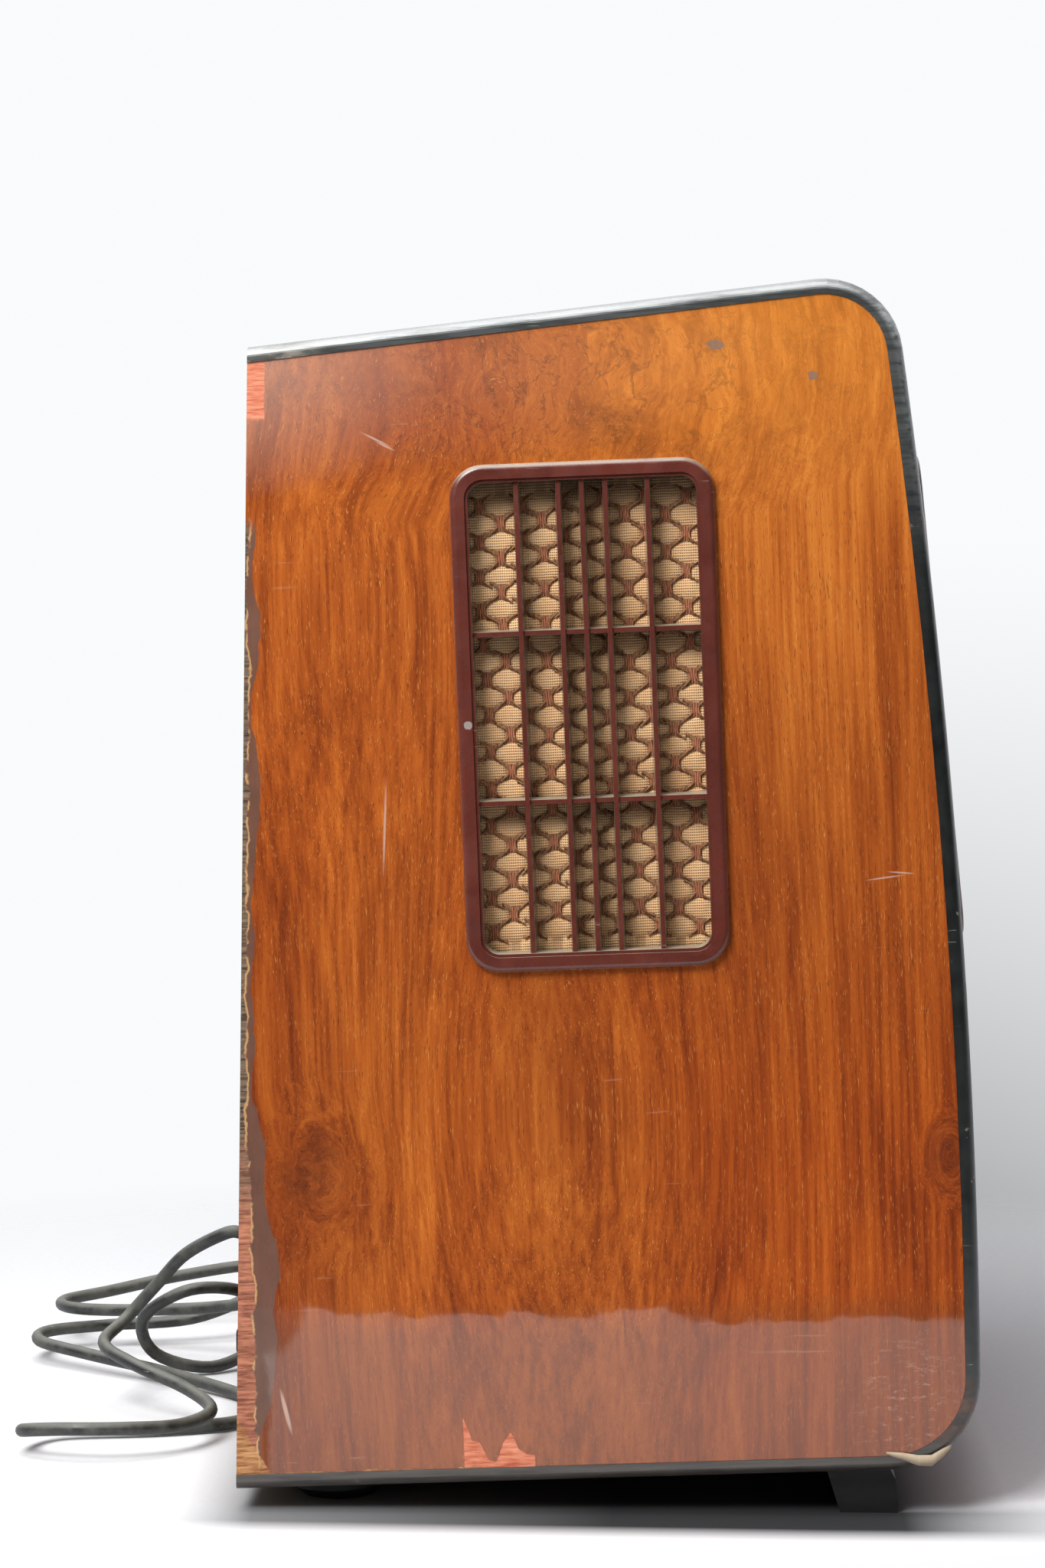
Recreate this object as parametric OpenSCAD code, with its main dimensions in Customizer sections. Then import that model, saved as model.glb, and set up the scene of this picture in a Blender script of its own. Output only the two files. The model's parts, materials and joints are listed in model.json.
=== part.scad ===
// Table radio: an upright wooden cabinet with a bowed front, moulded grilles, a dial and four knobs.
// Lengths are in millimetres and angles in degrees. The cabinet is drawn with its rear bottom edge
// at the origin, the front towards -Y and the bottom on z = 0. It is then leaned back onto its feet.

/* [Cabinet] */
// Width over the side panels
cabinet_w = 430; // [400:5:520]
// Depth from the rear edge to the fullest point of the front
cabinet_depth = 336; // [330:1:400]
// Height of the rear edge
rear_h = 511; // [500:1:580]
// Lean of the rear edge towards the front
rear_lean = 3; // [1:0.5:5]
// Rise of the top towards the front
top_slope = 4.5; // [2:0.5:7]
// Radius of the bow of the front, seen from the side
bow_r = 3700; // [3000:100:6000]
// Height of the fullest point of the front
bow_z = 110; // [80:5:160]
// Radius of the upper front edge
top_corner_r = 35; // [25:1:45]
// Radius of the lower front edge
bottom_corner_r = 42; // [30:1:50]
// Thickness of the side panels
side_t = 12; // [10:1:15]
// Thickness of the bent sheet of the top and front
wrap_t = 7; // [6:0.5:8]
// Thickness of the bottom board between the sides
bottom_t = 10; // [9:0.5:14]
// Length of the bent sheet under the cabinet
wrap_lip = 24; // [10:1:40]
// Width across the cabinet of the edge mouldings
moulding_w = 8; // [6:0.5:9]
// Rounding of the edge mouldings
moulding_r = 4.5; // [2:0.5:5]
// How far the edge mouldings stand out from the sides
moulding_proud = 0.6; // [0.2:0.1:1.5]

/* [Stance] */
// Lean of the whole cabinet towards the rear
stance = 2.2; // [1:0.1:3]
// Height of the rear bottom edge above the table
rear_gap = 10; // [8:0.5:14]
// Depth of the front foot rail
foot_d = 28; // [20:1:40]
// Distance of the front foot rail from the start of the lower front bend
foot_setback = 0; // [0:1:20]
// Distance of the front foot rail from the sides
foot_inset = 10; // [5:1:40]
// Diameter of the rear feet
rear_foot_dia = 44; // [30:1:60]
// Distance of the rear feet from the sides and from the rear
rear_foot_inset = 21; // [15:1:40]

/* [Side grilles] */
// Width of a side grille
grille_w = 117; // [100:1:130]
// Height of the grilles
grille_h = 225; // [200:1:240]
// Height of the middle of the grilles
grille_z = 342.5; // [335:0.5:350]
// Distance of the middle of a side grille from the rear edge
grille_from_rear = 172; // [150:1:190]
// Outer corner radius of the grilles
grille_r = 15; // [12:0.5:18]
// Width of the rim
rim_w = 8; // [7:0.5:9]
// Height of the rim above the cabinet
rim_h = 4.5; // [3:0.5:6]
// Front width of a bar
bar_w = 2; // [1.6:0.2:2.4]
// Draft of a bar, on each side
bar_draft = 0.7; // [0.3:0.1:0.9]
// Distance of the inner pair of upright bars from the middle
inner_bar_x = 10.4; // [8:0.2:14]
// Distance of the outer pair of upright bars from the middle
outer_bar_x = 29; // [22:0.5:36]
// Distance of the cross bars from the ends of the grille opening
cross_bar_drop = 67; // [50:1:80]
// Thickness of the grille cloth
cloth_t = 1.2; // [0.8:0.1:1.6]
// Thickness of the boards that carry the side cloths
cloth_board_t = 4; // [3:0.5:6]
// Margin of a cloth and its board around the grille opening
cloth_margin = 14; // [8:1:20]

/* [Front] */
// Width of the front grille and of the dial surround
front_w = 290; // [270:2:320]
// Bay between the upright bars of the front grille, outside its middle group
front_bay = 26; // [20:1:36]
// Thickness of the loudspeaker baffle
baffle_t = 10; // [8:1:14]
// Height of the baffle
baffle_h = 226; // [224:1:232]
// Height of the middle of the surround of the dial and knobs
bay_z = 129; // [128:0.5:130]
// Height of the surround
bay_h = 174; // [172:1:176]
// Width of the sloping rim of the surround
dial_rim_w = 11; // [9:0.5:12]
// Height of the well that the knobs sit in
well_h = 44; // [42:1:46]
// Depth of the well
well_depth = 20; // [18:0.5:21]
// Thickness of the floor of the well
well_floor = 2.5; // [2:0.5:3]
// Width of the bridge between the dial and the well
bridge_w = 10; // [8:1:12]
// Thickness of the dial glass
glass_t = 3; // [2:0.5:4]
// Depth from the dial glass to the dial plate
dial_depth = 14; // [12:1:18]

/* [Controls] */
// Distance between neighbouring knobs
knob_pitch = 64; // [50:1:68]
// Diameter of the knobs
knob_dia = 34; // [28:1:36]
// Length of the knobs
knob_len = 17; // [14:1:18]
// Gap between a knob and the floor of the well
knob_gap = 1; // [0.8:0.2:1.4]
// Diameter of the control shafts
shaft_dia = 6; // [5:0.5:6.5]
// Running clearance of a shaft in its bush, on the radius
shaft_clear = 0.05; // [0.02:0.01:0.09]
// Travel of the dial pointer to either side
pointer_travel = 90; // [80:1:100]
// Turns of the tuning knob from the middle to either end
tuning_turns = 2.5; // [2:0.5:4]

/* [Chassis] */
// Width of the chassis
chassis_w = 360; // [340:2:380]
// Distance of the back of the chassis from the rear edge
chassis_rear_gap = 40; // [34:1:50]
// Radius of the volume and tone controls
pot_r = 14; // [11:0.5:14]
// Radius of the wafers of the wave switch
wafer_r = 14.5; // [14:0.5:15]
// Gap between the wafers and the top of the chassis
control_gap = 1.3; // [0.8:0.1:3]
// Thickness of the chassis sheet
sheet_t = 1.2; // [1:0.1:1.6]
// Distance of the front of the chassis from the fullest point of the front
chassis_setback = 46; // [44:1:50]

/* [Loudspeaker] */
// Diameter of the loudspeaker
speaker_dia = 210; // [190:2:216]
// Depth of the loudspeaker basket
basket_depth = 62; // [50:1:75]
// Diameter of the loudspeaker magnet
magnet_dia = 92; // [80:1:100]
// Length of the loudspeaker magnet
magnet_len = 52; // [40:1:60]

/* [Back] */
// Depth of the back cover below the rear edges
back_recess = 4; // [3:0.5:8]
// Thickness of the back cover
back_t = 3; // [2.5:0.5:4]
// Width of the battens behind the back cover
batten_w = 16; // [14:1:20]
// Diameter of the aerial and earth sockets
socket_bore = 4; // [3.5:0.1:4.5]

/* [Mains cord] */
// Diameter of the cord
cord_dia = 6.5; // [5:0.5:7]
// Diameter of the plug pins
pin_dia = 4; // [3.5:0.1:5]
// Length of the plug pins
pin_len = 18; // [15:1:22]
// Distance between the plug pins
pin_pitch = 19; // [17:0.5:20]

/* [Hidden] */
$fn = 48;
fit_gap = 0.3; // clearance of a loose fit between fixed pieces
wire_gap = 0.4; // clearance of the drive cord from what moves

// Outline of the cabinet, seen from the side: points are [y, z]
function polar(r, a) = [r * cos(a), r * sin(a)];
function angle_of(v) = (atan2(v[1], v[0]) + 360) % 360;
rear_top = [-rear_h * tan(rear_lean), rear_h];
top_dir = [-cos(top_slope), sin(top_slope)];
top_in = [-sin(top_slope), -cos(top_slope)];
bow_c = [bow_r - cabinet_depth, bow_z];
top_q = rear_top + top_corner_r * top_in - bow_c;
top_run = sqrt((top_q * top_dir) ^ 2 - top_q * top_q + (bow_r - top_corner_r) ^ 2) - top_q * top_dir;
top_c = bow_c + top_q + top_run * top_dir;
bottom_c = [bow_c[0] - sqrt((bow_r - bottom_corner_r) ^ 2 - (bow_z - bottom_corner_r) ^ 2), bottom_corner_r];
top_start = 90 - top_slope;
top_end = angle_of(top_c - bow_c);
bottom_start = angle_of(bottom_c - bow_c);
bottom_end = 270;
function bow_y(z) = bow_c[0] - sqrt(bow_r ^ 2 - (z - bow_z) ^ 2);
function bow_tilt(z) = asin((z - bow_z) / bow_r);
bow_fn = 256;

// Widths inside the cabinet
inner_x = cabinet_w / 2 - side_t;
wrap_x = cabinet_w / 2 - moulding_w;

// Grille openings
rim_lap = 2.2; // wall that goes down into the cabinet
hole_inset = rim_w - rim_lap - fit_gap;
opening_h = grille_h - 2 * rim_w;
cross_bar_z = opening_h / 2 - cross_bar_drop;
side_bars = [-outer_bar_x, -inner_bar_x, 0, inner_bar_x, outer_bar_x];
front_span = front_w / 2 - rim_w;
front_extra = [for (x = outer_bar_x + front_bay; x < front_span - front_bay / 2; x = x + front_bay) x];
front_bars = concat([for (x = front_extra) -x], side_bars, front_extra);
bar_front = 1.8;
cross_front = 0.6;
side_spigot = side_t - 1;
front_sag = (baffle_h / 2) ^ 2 / (2 * bow_r);
front_cloth_y = wrap_t + front_sag + fit_gap;
front_spigot = front_cloth_y - 0.6;
baffle_y = front_cloth_y + cloth_t;

// Controls and tuning drive
well_low = dial_rim_w - bay_h / 2;
well_high = well_low + well_h;
window_low = well_high + bridge_w;
window_high = bay_h / 2 - dial_rim_w;
window_h = window_high - window_low;
dial_z = bay_z + (window_low + window_high) / 2;
knob_z = bay_z + (well_low + well_high) / 2;
knob_x = [-1.5, -0.5, 0.5, 1.5] * knob_pitch;
bay_sink = (knob_z - bay_z) * sin(bow_tilt(bay_z));
knob_back_y = bow_y(bay_z) + well_depth + bay_sink - knob_gap;
knob_front_y = knob_back_y - knob_len;
knob_face_r = knob_dia / 2 - 4;
chassis_front = -cabinet_depth + chassis_setback;
chassis_back = -chassis_rear_gap;
chassis_d = chassis_back - chassis_front;
chassis_top = knob_z + wafer_r + control_gap + sheet_t;
chassis_h = chassis_top - bottom_t;
bush_len = 9;
bush_r = 4.8;
shaft_r = shaft_dia / 2;
shaft_end_y = chassis_front + 22;
drum_r = pointer_travel / (PI / 2);
spindle_r = pointer_travel / (tuning_turns * 2 * PI);
drive_wire_r = 0.4;
drive_y = chassis_front - 11;
drum_z = chassis_top + drum_r + 3;
drum_w = 7;
pulley_r = 7;
pulley_w = 5;
pulley_pin_r = 1.5;
pulley_x = pointer_travel + 18;
rail_z = drum_z + drum_r + 9;
rail_y = drive_y - 9;
rail_r = 2;
carriage_w = 14;
carriage_h = 10;
carriage_gap = 1.5;
wire_top_z = rail_z;
pulley_z = wire_top_z - pulley_r;
gang_shaft_r = 3;
gang_front_y = chassis_front + 6;
gang_len = 62;
rotor_r = 26;
plate_t = 0.7;
plate_pitch = 3;
plates = 7;

// Dial
dial_glass_y = wrap_t + (bay_h / 2) ^ 2 / (2 * bow_r) + fit_gap;
dial_plate_y = dial_glass_y + glass_t + dial_depth;
dial_hole_w = front_w - 2 * (dial_rim_w - rim_lap - fit_gap);
dial_hole_h = bay_h - 2 * (dial_rim_w - rim_lap - fit_gap);
dial_hole_r = grille_r - (front_w - dial_hole_w) / 2;
dial_plate_w = dial_hole_w + 8;
dial_plate_top = rail_z - 9;
dial_plate_h = dial_plate_top - dial_z + window_h / 2 + 4;
glass_low = well_high + rim_lap + 2;
glass_high = dial_hole_h / 2 + 3;
plate_y = bow_y(bay_z) + dial_plate_y;
dial_plate_z = dial_plate_top - dial_plate_h / 2;

// Loudspeaker, in the frame of the front grille
cone_r = speaker_dia / 2 - 21;
magnet_r = magnet_dia / 2;
basket_back_r = magnet_r - 2;
speaker_bolt_r = speaker_dia / 2 - 8;
basket_y = baffle_y + baffle_t;

// Back cover, in the frame of the leaning rear edge
cover_y = -back_recess - back_t;
cover_bottom = bottom_t + 2;
cover_top = rear_h / cos(rear_lean) - wrap_t / cos(top_slope + rear_lean) - 2;
cord_exit_x = -8;
cord_exit_z = 79;
relief_len = 22;
socket_x = [-16, 0, 16];
socket_z = 40;
socket_strip_w = 62;
socket_strip_h = 22;
socket_len = 12;
cover_window = [socket_strip_w + 16, socket_strip_h + 16];

// Stance: the lower rim of the surround reaches furthest forwards and the rear bottom edge furthest back
rim_round = 2.5;
rim_up = rim_h - rim_round;
rim_down = bay_h / 2 - rim_round;
rim_y = bow_y(bay_z) - rim_up * cos(bow_tilt(bay_z)) - rim_down * sin(bow_tilt(bay_z));
rim_z = bay_z + rim_up * sin(bow_tilt(bay_z)) - rim_down * cos(bow_tilt(bay_z));
front_reach = rim_round - rim_y * cos(stance) - rim_z * sin(stance);
shift_y = front_reach / 2;

// Route of the mains cord on the table, from the strain relief to the plug. Its y is the distance
// behind the rear bottom edge.
cord_route = [
    [2, 50, 77], [9, 65, 61], [9, 82, 42], [-14, 90, 34], [-35, 72, 28], [-52, 44, 20], [-78, 28, 15],
    [-106, 40, 14], [-123, 66, 16], [-125, 94, 16], [-111, 115, 12], [-82, 103, 6], [-71, 54, 4],
    [-56, 19, 4], [-28, 7, 4], [4, 22, 4], [42, 66, 7], [74, 114, 10], [95, 141, 12], [121, 140, 12],
    [138, 110, 12], [147, 66, 14], [159, 32, 25], [187, 10, 30], [204, 36, 33], [198, 78, 28],
    [183, 116, 22], [160, 138, 21], [135, 131, 22], [119, 100, 24], [98, 50, 30], [70, 22, 40],
    [44, 34, 51], [34, 56, 51], [42, 78, 35], [60, 74, 13], [70, 46, 4]
];
plug_at = [92, shift_y + 20, 11];
plug_len = 38;
cord_sides = 10;
cord_steps = 2;

// Frames: what is drawn in the cabinet's frame stands on its feet here
module standing() {
    translate([0, shift_y, rear_gap]) rotate([-stance, 0, 0]) children();
}

// Draws an outline of [y, z] points across the cabinet
module sideways() {
    rotate([90, 0, 90]) children();
}

// Frame on the bowed front at height z, with -Y straight out of it
module on_front(z) {
    translate([0, bow_y(z), z]) rotate([-bow_tilt(z), 0, 0]) children();
}

// Frame of the leaning rear edge, with +Y straight out of it
module on_rear() {
    rotate([rear_lean, 0, 0]) children();
}

// Frame of the left grille, with its outline upright and its height outwards
module on_left() {
    translate([-cabinet_w / 2, -grille_from_rear, grille_z]) rotate([90, 0, -90]) children();
}

module mirrored() {
    mirror([1, 0, 0]) children();
}

// Draws an upright outline towards -Y
module forwards(depth) {
    rotate([90, 0, 0]) linear_extrude(depth) children();
}

// Draws a round piece along +Y
module rearwards() {
    rotate([-90, 0, 0]) children();
}

module rounded_rect(w, h, r) {
    square([w - 2 * r, h], center = true);
    square([w, h - 2 * r], center = true);
    for (x = [-1, 1], y = [-1, 1])
        translate([x * (w / 2 - r), y * (h / 2 - r)]) circle(r);
}

// Outline of the cabinet from the side, drawn in from its surface and running past the rear edge
module profile(inset, past = 0) {
    rear_len = rear_h / cos(rear_lean) - inset / cos(top_slope + rear_lean);
    rear_high = rear_len * [-sin(rear_lean), cos(rear_lean)];
    intersection() {
        translate(bow_c) circle(bow_r - inset, $fn = bow_fn);
        polygon([
            [past - inset * tan(rear_lean), inset], rear_high - past * top_dir,
            top_c + polar(top_corner_r - inset, top_start), top_c,
            top_c + polar(2 * top_corner_r, top_end), bottom_c + polar(2 * bottom_corner_r, bottom_start),
            bottom_c, [bottom_c[0], inset]
        ]);
    }
    corner_sector(top_c, top_corner_r - inset, top_start - 2, top_end + 2);
    corner_sector(bottom_c, bottom_corner_r - inset, bottom_start - 2, bottom_end + 2);
}

module corner_sector(centre, r, from, to) {
    middle = (from + to) / 2;
    translate(centre) intersection() {
        circle(r, $fn = 96);
        polygon([[0, 0], polar(2 * r, from), polar(3 * r, middle), polar(2 * r, to)]);
    }
}

// Strip of the given depth along the top, the front and the bottom, from one x to another
module edge_strip(depth, from, to) {
    translate([from, 0, 0]) sideways() linear_extrude(to - from) difference() {
        profile(0);
        profile(depth, 2);
    }
}

// Points of the outline drawn in by inset: its two rear ends and stations round both bends and the bow
edge_stations = concat(
    [for (k = [0:10]) [top_c, top_corner_r, top_start + k / 10 * (top_end - top_start)]],
    [for (k = [1:24]) [bow_c, bow_r, top_end + k / 24 * (bottom_start - top_end)]],
    [for (k = [1:12]) [bottom_c, bottom_corner_r, bottom_start + k / 12 * (bottom_end - bottom_start)]]
);
function edge_point(k, inset) =
    k < 0 ? (rear_h / cos(rear_lean) - inset / cos(top_slope + rear_lean)) * [-sin(rear_lean), cos(rear_lean)] :
    k >= len(edge_stations) ? [-inset * tan(rear_lean), inset] :
    let (e = edge_stations[k]) e[0] + polar(e[1] - inset, e[2]);

// Closed body through rings of points, each with the same count
module swept(points, count) {
    last = len(points) / count - 1;
    walls = [for (i = [0:last - 1], k = [0:count - 1])
        let (a = i * count + k, b = i * count + (k + 1) % count)
        each [[a, b, a + count], [b, b + count, a + count]]];
    first_cap = [for (k = [1:count - 2]) [0, k + 1, k]];
    top = last * count;
    last_cap = [for (k = [1:count - 2]) [top, top + k, top + k + 1]];
    polyhedron(points = points, faces = [for (f = concat(walls, first_cap, last_cap)) [f[2], f[1], f[0]]]);
}

// What lies behind the leaning rear edge
module behind_rear() {
    on_rear() translate([-cabinet_w, 0, -50]) cube([2 * cabinet_w, 60, rear_h + 100]);
}

// Cabinet
module side_panel_left() color("sienna") {
    difference() {
        translate([-cabinet_w / 2, 0, 0]) sideways() linear_extrude(side_t) profile(wrap_t);
        on_left() translate([0, 0, -side_t - 1]) linear_extrude(side_t + 2)
            rounded_rect(grille_w - 2 * hole_inset, grille_h - 2 * hole_inset, grille_r - hole_inset);
    }
}

module side_panel_right() mirrored() side_panel_left();

module wrap_shell() color("peru") {
    difference() {
        edge_strip(wrap_t, -wrap_x, wrap_x);
        translate([-cabinet_w, bottom_c[0] + wrap_lip, -1]) cube([2 * cabinet_w, cabinet_depth, wrap_t + 2]);
        on_front(grille_z) translate([0, 4 * wrap_t, 0]) forwards(8 * wrap_t)
            rounded_rect(front_w - 2 * hole_inset, grille_h - 2 * hole_inset, grille_r - hole_inset);
        on_front(bay_z) translate([0, 4 * wrap_t, 0]) forwards(8 * wrap_t)
            rounded_rect(dial_hole_w, dial_hole_h, dial_hole_r);
    }
}

module bottom_board() color("burlywood") {
    front = bottom_c[0] + wrap_lip;
    difference() {
        union() {
            translate([-wrap_x, front, 0]) cube([2 * wrap_x, -front, wrap_t]);
            translate([-inner_x, front, 0]) cube([2 * inner_x, -front, bottom_t]);
        }
        behind_rear();
        for (x = chassis_bolt_x, y = chassis_bolt_y) translate([x, y, -1]) cylinder(h = bottom_t + 2, r = 2.5);
    }
}

module edge_moulding_left() color([0.12, 0.13, 0.13]) {
    outer = -cabinet_w / 2 - moulding_proud;
    inner = wrap_t - 0.03;
    section = concat([[inner, 0]], [for (a = [0:10:90]) moulding_r * [1 - sin(a), 1 - cos(a)]],
        [[0, -wrap_x - outer], [inner, -wrap_x - outer]]);
    swept([for (k = [-1:len(edge_stations)], s = section) let (p = edge_point(k, s[0])) [outer + s[1], p[0], p[1]]],
        len(section));
}

module edge_moulding_right() mirrored() edge_moulding_left();

module below_table() {
    translate([-cabinet_w, -cabinet_depth, -60]) cube([2 * cabinet_w, 2 * cabinet_depth, 60]);
}

module front_foot_rail() color([0.1, 0.1, 0.1]) {
    half = cabinet_w / 2 - foot_inset;
    front = bottom_c[0] + foot_setback;
    drop = 40;
    difference() {
        standing() translate([-half, 0, 0]) sideways() linear_extrude(2 * half)
            polygon([[front, 0], [front + foot_d, 0], [front + foot_d - 11, -drop], [front + 2, -drop], [front - 4, -18],
                     [front - 3, -6]]);
        below_table();
    }
}

module rear_feet() color([0.1, 0.1, 0.1]) {
    edge = 5;
    foot_r = rear_foot_dia / 2;
    difference() {
        standing() for (x = [-1, 1])
            translate([x * (cabinet_w / 2 - rear_foot_inset - foot_r), -rear_foot_inset - foot_r, 0]) mirror([0, 0, 1]) {
                cylinder(h = rear_gap - edge + 2, r = foot_r);
                translate([0, 0, rear_gap - edge + 2]) cylinder(h = edge, r1 = foot_r, r2 = foot_r - edge);
            }
        below_table();
    }
}

module battens() color("tan") {
    batten_len = cover_top - cover_bottom - 14;
    batten_y = cover_y - batten_w;
    for (x = [-inner_x, inner_x - batten_w])
        on_rear() translate([x, batten_y, cover_bottom + 2]) cube([batten_w, batten_w, batten_len]);
    for (x = [-inner_x, inner_x - batten_w])
        on_front(grille_z) translate([x, basket_y, -baffle_h / 2]) cube([batten_w, batten_w, baffle_h]);
}

// Moulded grilles: a rim with a rounded edge and a wall that enters the cabinet, and drafted bars
module rim_section(w, h, base, spigot) {
    round_r = min(h - 1, w / 3);
    bead = 1.4;
    difference() {
        union() {
            translate([0, -base]) square([w - bead, h + base]);
            translate([w - bead, -base]) square([bead, h + base - 1.2]);
            translate([w - rim_lap, -spigot]) square([rim_lap, spigot]);
        }
        translate([0, h - round_r]) difference() {
            translate([-1, 0]) square([round_r + 1, round_r + 1]);
            translate([round_r, 0]) circle(round_r, $fn = 40);
        }
    }
}

// Sweeps a rim section round a rectangle with round corners; the section's x runs inwards
module around(w, h, r) {
    for (side = [0, 1], turn = [0, 1]) {
        half_w = (turn == 0 ? w : h) / 2;
        half_h = (turn == 0 ? h : w) / 2;
        rotate(side * 180 + turn * 90) {
            translate([half_w, -half_h + r, 0]) rotate([90, 0, 180]) linear_extrude(2 * half_h - 2 * r)
                children();
            translate([half_w - r, half_h - r, 0]) rotate_extrude(start = 0, angle = 90, $fn = 64)
                translate([r, 0]) mirror([1, 0]) children();
        }
    }
}

module upright_bar(x, front, spigot, len) {
    translate([x, len / 2, 0]) rotate([90, 0, 0]) linear_extrude(len)
        polygon([[-bar_w / 2, front], [bar_w / 2, front], [bar_w / 2 + bar_draft, -spigot],
                 [-bar_w / 2 - bar_draft, -spigot]]);
}

module grille(w, h, bars, base, spigot) {
    overlap = 1;
    around(w, h, grille_r) rim_section(rim_w, rim_h, base, spigot);
    for (x = bars) upright_bar(x, bar_front, spigot, h - 2 * rim_w + overlap);
    for (z = [-cross_bar_z, cross_bar_z])
        rotate(90) upright_bar(z, cross_front, spigot, w - 2 * rim_w + overlap);
}

module side_grille_left() color([0.36, 0.17, 0.14]) {
    on_left() grille(grille_w, grille_h, side_bars, 0, side_spigot);
}

module side_grille_right() mirrored() side_grille_left();

// The bowed sheet round an opening, cut out of what is seated on it
module bow_seat(z, h, hole_w, hole_h, hole_r) {
    steps = 16;
    rows = [for (i = [0:steps]) z + (i / steps - 0.5) * (h + 20)];
    difference() {
        translate([-front_w, 0, 0]) sideways() linear_extrude(2 * front_w)
            polygon(concat([for (r = rows) [bow_y(r), r]], [[bow_y(z) + 2 * wrap_t, z + h], [bow_y(z) + 2 * wrap_t, z - h]]));
        on_front(z) translate([0, 4 * wrap_t, 0]) forwards(8 * wrap_t)
            rounded_rect(hole_w - fit_gap, hole_h - fit_gap, hole_r);
    }
}

module front_grille() color([0.36, 0.17, 0.14]) {
    base = grille_h ^ 2 / (8 * bow_r) + 0.3;
    difference() {
        on_front(grille_z) rotate([90, 0, 0]) grille(front_w, grille_h, front_bars, base, front_spigot);
        bow_seat(grille_z, grille_h, front_w - 2 * hole_inset, grille_h - 2 * hole_inset, grille_r - hole_inset);
    }
}

module side_cloth_left() color([0.8, 0.66, 0.47]) {
    on_left() translate([0, 0, -side_t - cloth_t]) linear_extrude(cloth_t)
        square([grille_w - 2 * rim_w, opening_h] + 2 * [cloth_margin, cloth_margin], center = true);
}

module side_cloth_right() mirrored() side_cloth_left();

module side_cloth_board() {
    on_left() translate([0, 0, -side_t - cloth_t - cloth_board_t]) linear_extrude(cloth_board_t) difference() {
        square([grille_w - 2 * rim_w, opening_h] + 2 * [cloth_margin, cloth_margin], center = true);
        square([grille_w - 2 * rim_w, opening_h], center = true);
    }
}

module side_cloth_boards() color("tan") {
    side_cloth_board();
    mirrored() side_cloth_board();
}

module front_cloth() color([0.8, 0.66, 0.47]) {
    on_front(grille_z) translate([0, baffle_y, 0]) forwards(cloth_t)
        square([front_w - 2 * rim_w, opening_h] + [cloth_margin, cloth_margin], center = true);
}

// The lower edge keeps clear of the pointer's carriage
module speaker_baffle() color("tan") {
    difference() {
        on_front(grille_z) translate([0, basket_y, 0]) forwards(baffle_t) difference() {
            square([2 * inner_x - 1, baffle_h], center = true);
            circle(cone_r + 2, $fn = 96);
            for (a = [45:90:315]) rotate(a) translate([speaker_bolt_r, 0]) circle(2.2);
        }
        translate([-pointer_travel - carriage_w, rail_y - carriage_h, rail_z - carriage_h])
            cube([2 * (pointer_travel + carriage_w), 2 * carriage_h, 1.5 * carriage_h + carriage_gap]);
    }
}

// Dial
module dial_section(base) {
    crest = 5;
    wall = dial_rim_w - rim_lap;
    polygon([[0, -base], [wall, -base], [wall, fit_gap - dial_glass_y], [dial_rim_w, fit_gap - dial_glass_y],
             [dial_rim_w, 0.5], [crest, rim_h], [rim_round, rim_h], [0, rim_h - rim_round]]);
    translate([rim_round, rim_h - rim_round]) circle(rim_round, $fn = 40);
}

// Surround of the dial window, with a bridge and a sunken well for the knobs below it
module dial_escutcheon() color([0.36, 0.17, 0.14]) {
    base = bay_h ^ 2 / (8 * bow_r) + 0.3;
    half = front_w / 2 - dial_rim_w;
    middle = (well_low + well_high) / 2;
    difference() {
        on_front(bay_z) rotate([90, 0, 0]) difference() {
            union() {
                around(front_w, bay_h, grille_r) dial_section(base);
                translate([-half - 1, well_high, fit_gap - dial_glass_y])
                    cube([2 * half + 2, bridge_w, dial_glass_y - fit_gap + 1.5]);
                translate([0, middle, -well_depth - well_floor]) linear_extrude(well_depth + well_floor)
                    rounded_rect(2 * half + 2 * rim_lap, well_h + 2 * rim_lap, grille_r - dial_rim_w + rim_lap);
            }
            translate([0, middle, -well_depth]) linear_extrude(well_depth + 2 * rim_h)
                rounded_rect(2 * half, well_h, grille_r - dial_rim_w);
            for (x = knob_x) translate([x, middle, -well_depth - well_floor - 1])
                cylinder(h = well_floor + 2, r = shaft_r + 1.5);
        }
        bow_seat(bay_z, bay_h, dial_hole_w, dial_hole_h, dial_hole_r);
    }
}

module dial_glass() color([0.8, 0.9, 0.9, 0.4]) {
    on_front(bay_z) translate([-dial_plate_w / 2, dial_glass_y, glass_low])
        cube([dial_plate_w, glass_t, glass_high - glass_low]);
}

module dial_plate() color([0.9, 0.87, 0.75]) {
    wing = dial_plate_y - dial_glass_y - glass_t;
    leg_w = 16;
    leg_x = dial_plate_w / 2 - leg_w;
    low = dial_plate_top - dial_plate_h;
    translate([-dial_plate_w / 2, plate_y, low]) cube([dial_plate_w, sheet_t, dial_plate_h]);
    for (side = [0, 1]) mirror([side, 0, 0]) {
        translate([dial_plate_w / 2 - sheet_t, plate_y - wing + fit_gap, low])
            cube([sheet_t, wing + sheet_t - fit_gap, dial_plate_h]);
        translate([leg_x, plate_y, chassis_top]) cube([leg_w, sheet_t, low - chassis_top + 1]);
        translate([leg_x, plate_y, chassis_top]) cube([leg_w, chassis_front - plate_y + 14, sheet_t]);
        translate([pulley_x - 10, plate_y, dial_plate_top - 6]) cube([20, sheet_t, pulley_z - dial_plate_top + 10]);
        translate([pulley_x, plate_y, pulley_z]) rearwards()
            cylinder(h = drive_y + pulley_w / 2 + 2 - plate_y, r = pulley_pin_r);
    }
}

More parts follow.
